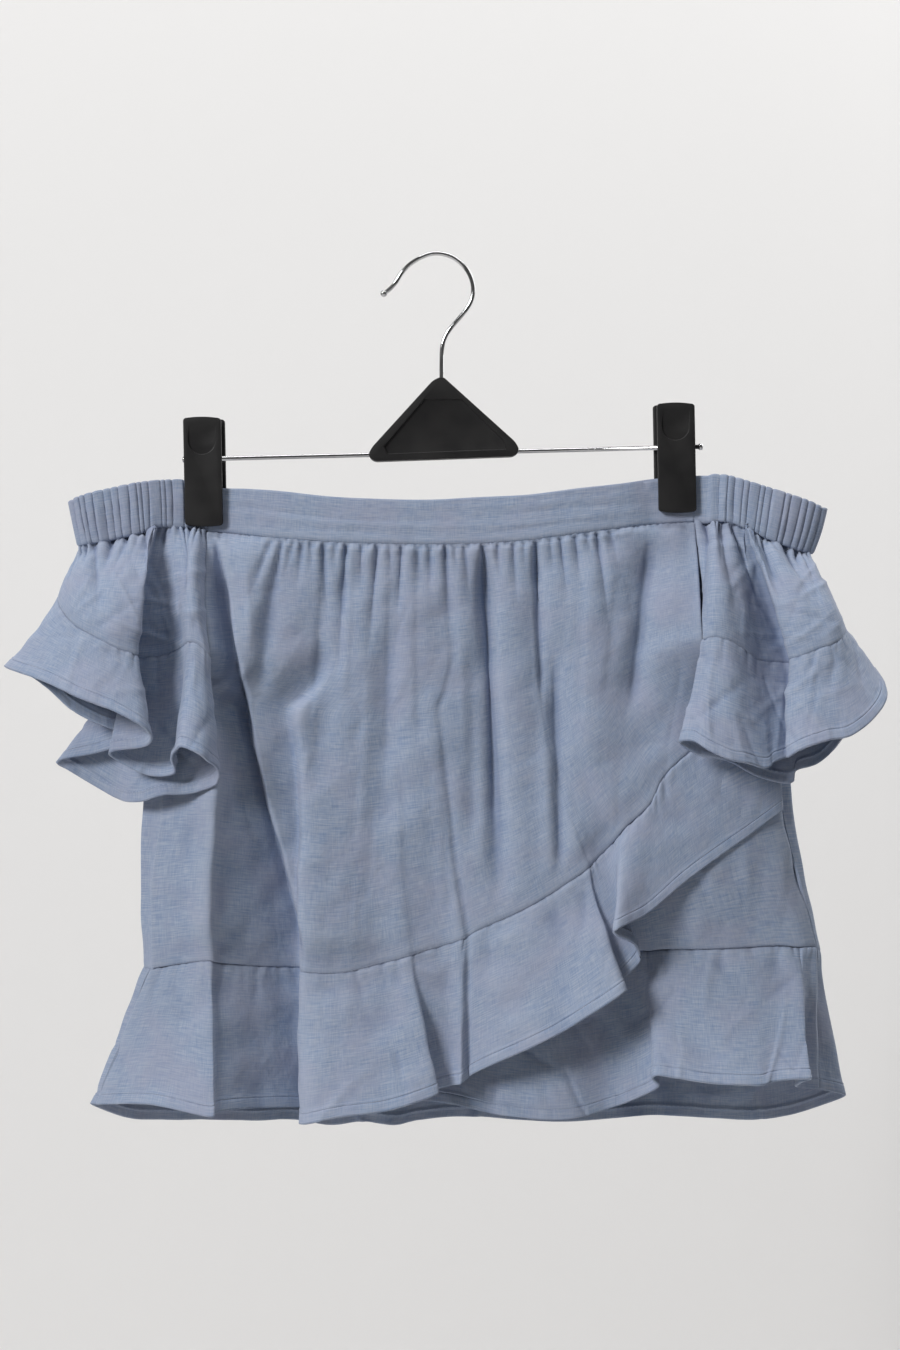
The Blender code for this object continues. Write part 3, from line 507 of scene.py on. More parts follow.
def outward_normals(grid, ring=False):
    """Normals of a grid whose rows run to the right in front and to the left behind."""
    across = np.roll(grid, -1, axis=1) - np.roll(grid, 1, axis=1) if ring else np.gradient(grid, axis=1)
    return unit(-np.cross(across, np.gradient(grid, axis=0)))


def flat_places(grid):
    """Where each point lies on the flat cloth, in mm: along the rows and down the columns."""
    across = np.linalg.norm(np.diff(grid, axis=1), axis=2).mean(axis=0)
    down = np.linalg.norm(np.diff(grid, axis=0), axis=2).mean(axis=1)
    return np.meshgrid(np.concatenate([[0], np.cumsum(across)]), np.concatenate([[0], np.cumsum(down)]))


def turn_edges(grid, normals, edges):
    """Draws the named sewn edges in, as a pressed seam does, and turns them in behind the cloth."""
    for edge in edges:
        if edge in ("left", "right"):
            grid, normals = np.swapaxes(grid, 0, 1), np.swapaxes(normals, 0, 1)
        if edge in ("bottom", "right"):
            grid, normals = grid[::-1], normals[::-1]
        out, inward = unit(grid[0] - grid[1]), -normals[0]
        sink = SEAM_SINK if edge in ("top", "bottom") else SIDE_SEAM_SINK
        near = grid[0] + out * SEAM_REACH * 0.8 + inward * sink
        far = grid[0] + out * SEAM_REACH + inward * SEAM_TURN
        brink = grid[0] - out * SEAM_BRINK + inward * sink * 0.3
        grid = np.concatenate([[far], [near], [brink], grid[1:]])
        normals = np.concatenate([[normals[0]], [normals[0]], normals])
        if edge in ("bottom", "right"):
            grid, normals = grid[::-1], normals[::-1]
        if edge in ("left", "right"):
            grid, normals = np.swapaxes(grid, 0, 1), np.swapaxes(normals, 0, 1)
    return grid, normals


def crests(grid, ring):
    """How far each point stands above (1) or below (-1) the cloth within a few points around it; the material
    paints a highlight on the crests and shade in the grooves from it.
    """
    around = grid
    for axis in (0, 1):
        total = np.zeros_like(grid)
        for step in range(-CREST_SPAN, CREST_SPAN + 1):
            spots = np.arange(grid.shape[axis]) + step
            spots = spots % len(spots) if ring and axis == 1 else np.clip(spots, 0, len(spots) - 1)
            total += np.take(around, spots, axis=axis)
        around = total / (2 * CREST_SPAN + 1)
    height = ((grid - around) * outward_normals(around, ring)).sum(axis=2) / CREST_HEIGHT
    return np.clip(np.nan_to_num(height), -1.0, 1.0)


def crumple(grid, normals, seed, height, loose_hem=False):
    """Uneven soft swells and slanting creases, as washed cotton has; none at its sewn edges."""
    dice = np.random.default_rng(seed)
    swell = np.zeros(grid.shape[:2])
    for length in SWELL_LENGTHS:
        heading = unit(dice.normal(size=3) * (1.0, 0.5, 0.6))
        other = unit(dice.normal(size=3))
        wave = np.sin(2 * np.pi * (grid @ heading) / length + dice.uniform(0, 6.3))
        gate = 0.5 + 0.5 * np.sin(2 * np.pi * (grid @ other) / (length * 2.3) + dice.uniform(0, 6.3))
        swell += wave * gate * (length / SWELL_LENGTHS[0]) ** 0.6
    low, high = grid.reshape(-1, 3).min(axis=0), grid.reshape(-1, 3).max(axis=0)
    for _crease in range(CRUMPLE_CREASES):
        spot = dice.uniform(low, high)
        heading = unit(np.array([dice.normal(), 0.0, dice.normal() * 1.6]))
        reach = grid - spot
        along_crease = reach @ heading
        off = reach[..., 0] * heading[2] - reach[..., 2] * heading[0]
        bend = off + 0.004 * along_crease ** 2 * dice.uniform(-1, 1)
        swell += (dice.uniform(-1.2, 1.2) * np.exp(-np.abs(bend / dice.uniform(1.1, 3.0)) ** 1.5)
                  * np.exp(-(along_crease / dice.uniform(9, 28)) ** 2))
    _across, down = flat_places(grid)
    held = ease(down / CRUMPLE_HOLD)
    if not loose_hem:
        held = held * ease((down[-1:] - down) / CRUMPLE_HOLD)
    return grid + normals * (swell * held * height)[..., None]


def pucker(grid, normals, seed, spacing, depth, length):
    """Small gathers below a sewn edge: narrow grooves of uneven depth that fade down the cloth."""
    dice = np.random.default_rng(seed)
    across, down = flat_places(grid)
    groove = np.zeros(grid.shape[:2])
    for middle in np.arange(spacing, across.max() - spacing / 2, spacing):
        middle += dice.uniform(-0.4, 0.4) * spacing
        run, wide = length * dice.uniform(0.4, 1.5), dice.uniform(0.16, 0.26) * spacing
        fade = 1 - ease(down / (1.8 * run))
        off = np.abs(across - middle - dice.uniform(-0.35, 0.35) * down) / (wide * (1 + 1.6 * down / run))
        groove += dice.uniform(0.4, 1.3) * np.exp(-off ** 1.4) * fade
    return grid - normals * (groove * depth)[..., None]


def cloth_object(name, grid, ring=False, wall=CLOTH_WALL, hem_rows=0):
    """Shell of a grid of points in mm, with its flat places as UV map and a thicker turned-up hem."""
    rows, columns = grid.shape[:2]
    across, down = flat_places(np.concatenate([grid, grid[:, :1]], axis=1) if ring else grid)
    index = np.arange(rows * columns).reshape(rows, columns)
    faces, places = [], []
    for row in range(rows - 1):
        here, below = index[row], index[row + 1]
        high, low = -down[row, 0], -down[row + 1, 0]
        for column in range(columns if ring else columns - 1):
            after = (column + 1) % columns
            faces.append((here[column], below[column], below[after], here[after]))
            left, right = across[0, column], across[0, column + 1]
            places += [(left, high), (left, low), (right, low), (right, high)]
    mesh = bpy.data.meshes.new(name)
    mesh.from_pydata((grid.reshape(-1, 3) * MM).tolist(), [], [tuple(map(int, face)) for face in faces])
    mesh.uv_layers.new(name="cloth").data.foreach_set("uv", (np.asarray(places) * MM).ravel())
    # crest: where the cloth stands out or sinks in, for the material's painted highlight and painted shade
    mesh.attributes.new("crest", "FLOAT", "POINT").data.foreach_set("value", crests(grid, ring).ravel())
    mesh.shade_smooth()
    mesh.materials.append(chambray_finish)
    item = bpy.data.objects.new(name, mesh)
    scene.collection.objects.link(item)
    thick = item.modifiers.new("wall", "SOLIDIFY")
    thick.thickness = (HEM_WALL if hem_rows else wall) * MM
    thick.offset = 0.0
    if hem_rows:
        strip = item.vertex_groups.new(name="hem")
        strip.add(index[-hem_rows:].ravel().tolist(), 1.0, "REPLACE")
        thick.vertex_group = "hem"
        thick.thickness_vertex_group = wall / HEM_WALL
    return item


def band_grid(side, columns, rows):
    u, v = shares(columns, rows)
    table = np.asarray(BAND_ROWS, float)
    x, depth, top, bottom = np.moveaxis(follow(table, u * (len(table) - 1)), -1, 0)
    z = top + (bottom - top) * v
    if side > 0:
        depth = table[0, 1] + (depth - table[0, 1]) * BACK_BAND_BULGE
        z = z - BACK_BAND_DROP * np.sin(np.pi * u)
    press = np.zeros_like(u)
    for place, width, height, wave in BAND_CREASES:
        line = place + 0.05 * np.sin(2 * np.pi * (wave * u + place))
        strength = height * (0.6 + 0.4 * np.sin(7 * u * wave + 9 * place))
        press += strength * np.exp(-(((v - line) * BAND_WIDTH) / width) ** 2)
    loose = ease(u / 0.08) * ease((1 - u) / 0.08)
    lean = BAND_LEAN * (1 - v) * ease(u / 0.25) * ease((1 - u) / 0.25)
    return np.stack([x, side * (depth + press * loose - lean), z], axis=2)


def band_seam(side):
    """The band's lower edge, in front (side -1) or behind (side 1), from left to right."""
    return band_grid(side, len(BAND_ROWS) - 1, 1)[-1]


chambray_finish = chambray()
for side, name in ((-1, "band_front"), (1, "band_back")):
    grid = band_grid(side, *BAND_MESH)
    if side > 0:
        grid = grid[:, ::-1]
    grid, _normals = turn_edges(grid, outward_normals(grid), ("bottom",))
    band = cloth_object(name, grid, wall=BAND_WALL)
    finish_piece(band, "chambray", "front_band" if side < 0 else "back_band")

# Sleeve casings: doubled strips drawn up by an elastic inside, so narrow grooves run across them with
# soft puffs between. Each is a loop from the neck band round the sleeve's top and back.
# x at top, x at bottom, depth, top z, bottom z, along the front half
LEFT_ELASTIC_ROWS = (
    (-137.1, -137.1, 1.4, -138, -165.5), (-151, -151, 2.2, -136.5, -164), (-165, -165, 6, -137, -163.5),
    (-177, -176, 8, -138.5, -167.5), (-192, -187, 8.5, -141.5, -170), (-207, -199, 7.5, -145, -172.5),
    (-216, -209, 5, -148, -174), (-220, -214.5, 0, -150, -175),
)
RIGHT_ELASTIC_ROWS = (
    (155.1, 155.1, 1.4, -133, -160.5), (160, 160, 2.0, -133, -161), (174, 174, 6, -134, -160.5),
    (191, 186, 8, -139, -165), (208, 200, 8.5, -144.5, -171.5), (222, 212, 7, -149, -176),
    (230, 220, 4.5, -152.5, -178.5), (234, 225.5, 0, -154, -179.5),
)
CASING_MESH = (440, 22)
CASING_WALL = 0.9
PINCH_DEPTH = 3.0
PINCH_CREST_RISE = 1.2
PINCH_UNEVEN = 0.42       # how far a groove may lie from its even place, in grooves
PINCH_SHARPNESS = 0.28    # the lower, the narrower a groove between its puffs


def casing_grid(rows, pinches, seed):
    """A casing's loop, ruched; the table gives its front half, and its back half mirrors that."""
    front = np.asarray(rows, float)
    top = np.stack([front[:, 0], -front[:, 2], front[:, 3]], axis=1)
    low = np.stack([front[:, 1], -front[:, 2], front[:, 4]], axis=1)
    mirror = np.array([1.0, -1.0, 1.0])
    top = np.concatenate([top, top[-2::-1] * mirror])
    low = np.concatenate([low, low[-2::-1] * mirror])
    u, v = shares(*CASING_MESH)
    high, foot = follow_length(top, u), follow_length(low, u)
    grid = high + (foot - high) * v[..., None]
    ahead = np.gradient(high, axis=1)
    way = 1.0 if front[1, 0] > front[0, 0] else -1.0
    outward = unit(np.stack([ahead[..., 1], -ahead[..., 0], np.zeros_like(u)], axis=2)) * way
    dice = np.random.default_rng(seed)
    turns = 2 * pinches
    stops = np.linspace(0, 1, turns + 1)
    warp = np.interp(u, stops, np.concatenate([[0], dice.uniform(-1, 1, turns - 1), [0]]))
    size = np.interp(u, stops, dice.uniform(0.55, 1.2, turns + 1))
    wave = np.abs(np.sin(np.pi * (turns * u + warp * PINCH_UNEVEN + 0.12 * np.sin(3 * v + 5 * u))))
    crest = wave ** PINCH_SHARPNESS
    clear = ease((u - 0.05) / 0.03) * ease((0.95 - u) / 0.03)
    swell = 0.6 + 0.4 * np.sin(np.pi * v)
    grid += outward * (PINCH_DEPTH * (size * crest - 0.45) * clear * swell)[..., None]
    grid[..., 2] += PINCH_CREST_RISE * crest * clear * (1 - v)
    return grid if way > 0 else grid[:, ::-1]


for side, rows, pinches, seed in (("left", LEFT_ELASTIC_ROWS, 18, 11), ("right", RIGHT_ELASTIC_ROWS, 17, 12)):
    grid = casing_grid(rows, pinches, seed)
    grid, _normals = turn_edges(grid, outward_normals(grid), ("bottom",))
    casing = cloth_object(f"casing_{side}", grid, wall=CASING_WALL)
    finish_piece(casing, "chambray", f"elastic_{side}")

# Front: one piece of chambray, gathered into the neck band and ending at the hem seam on the left and along
# the wrap's diagonal on the right. It falls in long folds, and its left side folds back deeply under the arm.
FRONT_LEFT_EDGE = (
    (-137, -2.2, -166.5), (-137.4, -8, -185), (-137.2, -15, -205), (-135, -22, -225), (-133.5, -26, -240),
    (-139, -23, -250), (-153, -16, -258), (-169, -10, -263.5), (-165, -9, -291), (-163, -9, -332),
    (-168, -9, -370), (-169, -9, -400), (-169, -9, -427),
)
FRONT_RIGHT_EDGE = (
    (155, -2.2, -161), (155.6, -8, -180), (156.2, -15, -202), (156.8, -21, -222), (158.5, -23, -234),
    (168, -18, -247), (183, -13, -258), (204, -10, -268),
)
SIDE_SPREAD = 2.0
SIDE_DEPTH_FADE = 9.0
FRONT_MESH = (345, 132)
# x and z at the top, x and z at the bottom, depth towards the viewer, width to the left, width to the right
FRONT_FOLDS = (
    (64, -200, 70, -370, 4, 6, 36), (28, -172, 37, -372, -6, 6, 9),
    (36, -172, 46, -360, 3, 5, 14), (58, -172, 66, -300, -3, 7, 9), (70, -240, 73, -365, -4, 6, 9),
    (22, -240, 22, -345, -3, 6, 6), (-29, -230, -30, -330, -3, 8, 9), (-55, -180, -70, -310, -3, 9, 9),
    (-86, -178, -112, -280, -3, 8, 9), (128, -176, 116, -268, -4, 8, 10), (100, -180, 96, -300, 3, 12, 12),
    (-10, -200, -8, -360, 3, 12, 12),
)
FRONT_CREASES = (
    (29, -174, 35, -330, -3.4, 1.8, 4), (33, -180, 41, -340, 1.0, 2.5, 4), (71, -250, 73, -360, -2.2, 2.0, 4),
    (58, -174, 63, -262, -2.6, 1.8, 4), (-47, -176, -50, -262, -0.8, 2.6, 5),
    (-65, -176, -74, -300, -1.0, 2.6, 5), (-70, -262, -76, -308, 0.8, 2.0, 3),
    (-26, -178, -29, -300, -1.0, 2.6, 5), (-11, -178, -10, -290, -0.9, 2.5, 5),
    (127, -178, 116, -264, -2.0, 2.2, 5), (-98, -190, -104, -262, -0.9, 3, 5),
    (-112, -186, -108, -236, 0.9, 3, 5), (92, -188, 88, -286, 0.8, 3, 6), (14, -190, 18, -300, 0.8, 3, 5),
    (-40, -250, -44, -352, 0.7, 3, 5), (108, -196, 101, -262, -0.8, 3, 5), (5, -300, 8, -392, -0.8, 3, 5),
    (-88, -300, -84, -400, 0.6, 4, 6),
)
FOLD_RUN_OUT = 0.15       # share of a fold's length over which it fades at each end
# The deep fold under the left arm: z, x of its outer ridge, x of the body's edge that hangs over it, the
# ridge's rise, the drop in front of the edge, the edge's rise
DEEP_FOLD = (
    (-166, -138, -133, 0, 0, 1), (-178, -138, -129, 0, 4, 4), (-199, -138, -124, 0, 8, 6),
    (-234, -137, -118.5, 0, 10, 8), (-262, -132, -112.5, 4, 7, 9), (-291, -128, -107.5, 9, 7, 9),
    (-329, -129, -99.5, 11, 7, 9), (-361, -130.5, -90.5, 11, 7, 9), (-384, -131, -85, 11, 5, 9),
    (-410, -130.5, -78, 11, 3, 9), (-430, -130, -77, 10, 1, 5),
)
DEEP_RIDGE_WIDTH, DEEP_EDGE_STEP, DEEP_EDGE_WIDTH = 24.0, 3.0, 36.0
# x, sideways drift, depth, length
FRONT_GATHERS = (
    (-97, -12, 3.2, 34), (-91, -9, 4.0, 50), (-84, -5, 2.6, 20), (-79, -3, 3.2, 26), (-74, 0, 2.8, 20),
    (-67, 2, 4.0, 36), (-60, 0, 2.4, 16), (-53, -4, 4.4, 66), (-44, 0, 3.0, 26), (-34, -5, 4.2, 56),
    (-27, 0, 2.4, 16), (-20, -2, 3.6, 44), (-10, 0, 2.6, 20), (-3, 0, 3.2, 26), (6, 2, 3.6, 44),
    (12, 0, 2.4, 16), (17, 3, 3.2, 28), (28, 2, 4.6, 60), (37, 1, 3.0, 22), (46, 2, 3.6, 32),
    (53, 0, 2.4, 16), (60, 3, 4.6, 66), (68, 2, 2.6, 20), (74, 4, 3.6, 34), (83, 3, 3.6, 28),
    (90, 3, 2.4, 16), (96, 6, 4.0, 50), (104, 4, 2.8, 20),
)
GATHER_MOUTH, GATHER_SPREAD, GATHER_TAIL = 1.5, 2.6, 1.6
GATHER_SHARPNESS = 1.35
GATHER_PUFF, GATHER_RISE, GATHER_REACH = 2.2, 5.0, 45.0

# The seam between the front and the wrap ruffle, and the ruffle's hem, a row for each ridge and valley:
# seam x, seam y, seam z, hem x, hem y, hem z
WRAP_ROWS = (
    (-170, -7.6, -428, -202.6, -10.3, -508), (-150, -15, -424, -167, -34, -504),
    (-134, -27, -421, -131, -51, -508), (-126, -22, -423, -126, -44, -506), (-104, -11, -426, -101, -22, -508),
    (-81.5, -2, -428, -75, -3, -512), (-79, -24, -428, -78, -42, -514), (-56, -28, -428, -53, -50, -508),
    (-33, -26, -423, -26, -47, -505), (-18, -27, -419, 2, -44, -496), (-11, -25, -417, -3, -29, -497),
    (3, -23, -413, 9, -27, -494), (15, -25, -409, 15, -33, -492), (19.5, -23, -407, 20, -27, -489),
    (26, -24, -403, 25, -31, -485), (56, -26, -389, 64, -44, -465),
    (86, -26, -370, 108, -47, -438), (92, -24, -365, 105, -34, -436), (97, -22, -360, 121, -29, -420),
    (104, -22, -353, 117, -37, -410), (112, -25, -343, 105, -48, -401), (126, -25, -330, 124, -35, -392),
    (136, -23, -312, 147, -29, -374), (157, -20, -294, 168, -25, -359), (184, -15, -278, 187, -22, -346),
    (204, -12, -270, 206, -14, -333),
)


def table_part(table, first):
    return np.asarray(table, float)[:, first:first + 3]


def span(top, bottom, left, right, u, v):
    """Surface between four edges, each a list of points; the side edges' depth fades fast into it."""
    high, low = follow_length(top, u), follow_length(bottom, u)
    down = v[..., None]
    grid = high + (low - high) * down
    for edge, corner, reach in ((left, 0.0, 1.0 - u), (right, 1.0, u)):
        start, end = follow_length(top, corner), follow_length(bottom, corner)
        shift = follow_length(edge, v) - (start + (end - start) * down)
        sideways, deep = reach ** SIDE_SPREAD, reach ** SIDE_DEPTH_FADE
        grid += shift * np.stack([sideways, deep, sideways], axis=2)
    return grid


def fold_height(x, z, folds):
    """Long folds, each of its own depth and widths, that fade at both ends."""
    total = np.zeros_like(x)
    for x_top, z_top, x_bottom, z_bottom, depth, left, right in folds:
        share = (z_top - z) / (z_top - z_bottom)
        off = x - (x_top + (x_bottom - x_top) * share)
        ends = (ease((share + FOLD_RUN_OUT) / (2 * FOLD_RUN_OUT))
                * ease((1 + FOLD_RUN_OUT - share) / (2 * FOLD_RUN_OUT)))
        total += depth * ends * np.exp(-(off / np.where(off < 0, left, right)) ** 2)
    return total


def deep_fold_height(x, z):
    """A ramp that falls from the outer ridge to the foot of the body's edge, which stands over it."""
    table = np.asarray(DEEP_FOLD, float)[::-1]
    ridge, edge, rise, drop, stand = (np.interp(z, table[:, 0], table[:, column]) for column in range(1, 6))
    share = np.clip((x - ridge) / (edge - ridge), 0.0, 1.0)
    outer = rise * np.exp(-((x - ridge) / DEEP_RIDGE_WIDTH) ** 2)
    ramp = rise - (rise + drop) * share ** 0.85
    body = stand * np.exp(-((x - edge) / DEEP_EDGE_WIDTH) ** 2)
    step = ease((x - edge) / DEEP_EDGE_STEP + 0.5)
    return np.where(x < ridge, outer, ramp * (1 - step) + body * step)


def gather_height(x, z, seam_z, gathers):
    """Sharp grooves that widen and fade below a gathered seam, in cloth that puffs out between them."""
    below = np.maximum(seam_z - z, 0.0)
    total = GATHER_PUFF * ease(below / GATHER_RISE) * np.exp(-below / GATHER_REACH) + 0.0 * x
    for middle, drift, depth, length in gathers:
        down = below / length
        width = GATHER_MOUTH + GATHER_SPREAD * np.clip(down, 0, GATHER_TAIL)
        off = np.abs(x - middle - drift * down) / width
        total -= depth * (1 - ease(down / GATHER_TAIL)) * np.exp(-off ** GATHER_SHARPNESS)
    return total


u, v = shares(*FRONT_MESH)
v = 0.62 * v + 0.38 * v * v          # rows lie closer under the band, where the gathers are
u = np.interp(u, (0.0, 0.11, 0.89, 1.0), (0.0, 0.16, 0.84, 1.0))
grid = span(band_seam(-1), table_part(WRAP_ROWS, 0), FRONT_LEFT_EDGE, FRONT_RIGHT_EDGE, u, v)
seam_z = follow_length(band_seam(-1), u)[..., 2]
x, z = grid[..., 0], grid[..., 2]
loose = ease((1 - v) / 0.09) * ease(u / 0.02) * ease((1 - u) / 0.05)
height = fold_height(x, z, FRONT_FOLDS) * ease(v / 0.12) + deep_fold_height(x, z) * ease(v / 0.05)
height += fold_height(x, z, FRONT_CREASES) * ease(v / 0.03)
grid[..., 1] -= (height + gather_height(x, z, seam_z, FRONT_GATHERS) * ease(v / 0.015)) * loose
normals = outward_normals(grid)
grid = pucker(grid, normals, 21, 4.5, 0.7, 6.0)
grid = crumple(grid, normals, 22, 0.5)
front_sides = {"left": grid[:, 0], "right": grid[:, -1]}
grid, normals = turn_edges(grid, outward_normals(grid), ("left", "right", "top", "bottom"))
front = cloth_object("front", grid)
finish_piece(front, "chambray", "front_body")

# Panel under the wrap: a plain piece of chambray that comes from the right side seam and goes up behind the
# wrap's ruffle, so only its lower right shows.
UNDER_ROWS = (
    (-42, -10, -430, -46, -11, -506), (-3, -10, -427, 1, -14, -506), (39, -10, -424, 38, -18, -513),
    (74, -11, -421, 76, -22, -515), (101, -10, -419, 101, -17, -510), (117, -10, -418, 115, -21, -504),
    (123, -11, -417, 129, -29, -495), (128, -12, -417, 126, -38, -488), (136, -13, -416, 132, -44, -485),
    (157, -15, -416, 157, -46, -489), (184, -15, -415, 186, -46, -491), (204, -14, -414, 198, -42, -489),
    (215, -13, -415, 219, -44, -487), (220, -12, -415, 214, -31, -492), (224, -10, -415, 214, -21, -496),
    (227.6, -7.4, -415.5, 227.6, -14, -498.5),
)
LOWER_TOP_EDGE = (
    (-42, -15, -427), (9, -16, -412), (48, -17, -393), (84, -19, -373), (112, -20, -346), (136, -19, -315),
    (157, -18, -296), (184, -15, -281), (204, -7.5, -272),
)
LOWER_RIGHT_EDGE = (
    (204, -7.5, -272), (205, -8, -300), (206.5, -8, -335), (210, -8, -352), (215, -8, -372),
    (222.8, -7.5, -398), (227, -7.5, -414),
)
PANEL_BULGE = 7.5
LOWER_MESH = (140, 70)
u, v = shares(*LOWER_MESH)
hem_line = table_part(UNDER_ROWS, 0)
grid = span(LOWER_TOP_EDGE, hem_line, (LOWER_TOP_EDGE[0], tuple(hem_line[0])), LOWER_RIGHT_EDGE, u, v)
grid[..., 1] -= PANEL_BULGE * np.sqrt(np.sin(np.pi * u)) * np.sin(np.pi * v)
grid = crumple(grid, outward_normals(grid), 31, 0.7)
grid, normals = turn_edges(grid, outward_normals(grid), ("right", "bottom"))
lower = cloth_object("front_under", grid)
finish_piece(lower, "chambray", "lower_front")

# Back: one piece of chambray, gathered into the back of the neck band and ending at the hem seam. None of it
# shows in front, so it has the front's kind of gathers and a few long folds.
BACK_ROWS = (
    (227.9, -6.6, -415.5, 227.9, -13.2, -498.5), (231, 0, -418, 244, -4, -504), (228, 7, -420, 233, 8, -512),
    (208, 10, -422, 212, 17, -520), (184, 10, -423, 185, 20, -523), (139, 9, -423, 132, 9, -518),
    (93, 10, -423, 79, 19, -524), (48, 8, -423, 21, 10, -519), (12, 9, -423, -8, 16, -522),
    (-9, 10, -423, -25, 20, -526), (-34, 9, -423, -45, 13, -523), (-55, 9, -423, -64, 18, -526),
    (-76, 9, -423, -85, 12, -521), (-103, 10, -423, -113, 19, -523), (-154, 9, -423, -167, 16, -522),
    (-170, 6, -424, -187, 8, -519), (-175, 0, -427, -206, -1, -510), (-170.3, -6.8, -428, -202.9, -9.5, -508),
)
# z at left, z at right, left seam x, left fold x, right fold x, right seam x, seam y, fold y, depth
BACK_SECTIONS = (
    (-200, -197, -147.5, -146, 170, 171.5, 0.8, 2.5, 13), (-235, -232, -159, -157, 187, 189, -1.2, 1.5, 15),
    (-263, -266, -167.5, -168.5, 206.5, 206, -4.8, 0.5, 15), (-300, -300, -165, -173.5, 212.5, 206, -7, 0, 14),
    (-335, -335, -165, -176, 215, 207.5, -7, 0, 13), (-370, -372, -170, -177.5, 220, 216, -7, 0, 12),
    (-400, -398, -170.5, -175.5, 226, 223.5, -6.5, 0, 11),
)
BACK_FOLDS = (
    (118, -185, 128, -400, 2.4, 12, 9), (82, -178, 86, -340, -2.0, 7, 9), (48, -178, 44, -410, 2.2, 10, 12),
    (12, -180, 10, -330, -2.2, 7, 8), (-20, -180, -26, -400, 2.0, 12, 9), (-58, -178, -66, -360, -2.0, 8, 8),
    (-92, -180, -108, -400, 2.4, 10, 12), (62, -180, 64, -300, 0.9, 3, 5), (-40, -180, -44, -280, 0.9, 3, 5),
)
BACK_GATHERS = (
    (-104, -4, 2.2, 34), (-90, -3, 1.6, 20), (-76, -2, 2.4, 44), (-63, 0, 1.8, 22), (-50, -2, 2.4, 50),
    (-38, 0, 1.6, 20), (-25, 2, 2.2, 34), (-12, 0, 1.8, 26), (2, 1, 2.4, 48), (15, 0, 1.6, 20),
    (27, 2, 2.2, 36), (40, 1, 1.8, 24), (54, 3, 2.4, 46), (66, 0, 1.6, 20), (79, 3, 2.2, 36), (92, 2, 1.8, 24),
    (105, 4, 2.2, 34),
)
SIDE_SEAM_TOP = -290.0    # z below which the back's left edge is drawn to the front's
SIDE_SEAM_REACH = 0.04    # share of the back's width that is drawn
SIDE_SEAM_GAP = 0.3
BACK_MESH = (210, 114)


def back_section(row, u):
    """One level line of the back, from the right side seam round behind to the left one."""
    z_left, z_right, seam_l, fold_l, fold_r, seam_r, seam_y, fold_y, depth = row
    across = (
        (seam_r, seam_y), (fold_r, fold_y), (fold_r - 8, depth * 0.7), (fold_r - 40, depth),
        (fold_l * 0.6 + fold_r * 0.4, depth + 1), (fold_l + 40, depth), (fold_l + 8, depth * 0.7),
        (fold_l, fold_y), (seam_l, seam_y),
    )
    stops = [(x, y, z_right + (z_left - z_right) * (seam_r - x) / (seam_r - seam_l)) for x, y in across]
    return follow(stops, u * (len(stops) - 1))


u, v = shares(*BACK_MESH)
v = 0.7 * v + 0.3 * v * v
line = u[0]
band_line = follow(band_seam(1), (1 - line) * (len(BAND_ROWS) - 1))
levels = [band_line] + [back_section(row, line) for row in BACK_SECTIONS]
levels.append(follow(table_part(BACK_ROWS, 0), line * (len(BACK_ROWS) - 1)))
levels = np.asarray(levels)
grid = follow(levels.reshape(len(levels), -1), v[:, 0] * (len(levels) - 1)).reshape(*u.shape, 3)
loose = ease((1 - v) / 0.12) * ease(u / 0.12) * ease((1 - u) / 0.12)
height = fold_height(grid[..., 0], grid[..., 2], BACK_FOLDS) * ease(v / 0.1)
height += gather_height(grid[..., 0], grid[..., 2], band_line[None, :, 2], BACK_GATHERS) * ease(v / 0.015)
grid[..., 1] += height * loose
normals = outward_normals(grid)
grid = pucker(grid, normals, 41, 6.5, 0.8, 9.0)
grid = crumple(grid, normals, 42, 0.6)
front_edge = front_sides["left"][np.argsort(front_sides["left"][:, 2])]
drawn = np.clip(1 - (1 - u) / SIDE_SEAM_REACH, 0, 1) ** 2 * ease((SIDE_SEAM_TOP - grid[..., 2]) / 30)
for axis, gap in ((0, 0.0), (1, SIDE_SEAM_GAP)):
    target = np.interp(grid[:, -1, 2], front_edge[:, 2], front_edge[:, axis]) + gap
    grid[..., axis] += (target - grid[:, -1, axis])[:, None] * drawn
back_sides = {"left": grid[:, -1], "right": grid[:, 0]}
grid, normals = turn_edges(grid, outward_normals(grid), ("left", "right", "top", "bottom"))
back = cloth_object("back", grid)
finish_piece(back, "chambray", "back_body")

# Ruffles of the hem: strips cut on a curve, so that they flare into waves, sewn on at the top and turned up
# 6 mm at the hem with one row of topstitching. One climbs the wrap, one hangs from the panel under it, one
# from the back.
HEM_STEPS = (9.0, 7.8, 7.0, 6.5, 6.1, 5.7, 5.2, 4.0, 2.6, 1.2, 0.0)
HEM_STITCH = 6.1          # distance of the topstitching from the hem's edge
HEM_WIDTH = 7.0
STITCH_SINK = 0.42
STITCH_LIFT = 0.6         # how far the thread lies off the cloth's middle, on both faces
FLARE_SHARE = 0.45
FLARE_ROWS = 90
STITCH_PITCH, STITCH_LENGTH, STITCH_THICKNESS = 2.9, 2.1, 0.42
THREAD_COLOUR = (0.30, 0.37, 0.54, 1.0)


def thread_material():
    material, nodes, links, shader, place = new_material("thread")
    fleck = add_noise(nodes, links, place, 900.0)
    links.new(mix(nodes, links, fleck, THREAD_COLOUR, CLOTH_PALE), shader.inputs["Base Color"])
    shader.inputs["Roughness"].default_value = 0.6
    return material


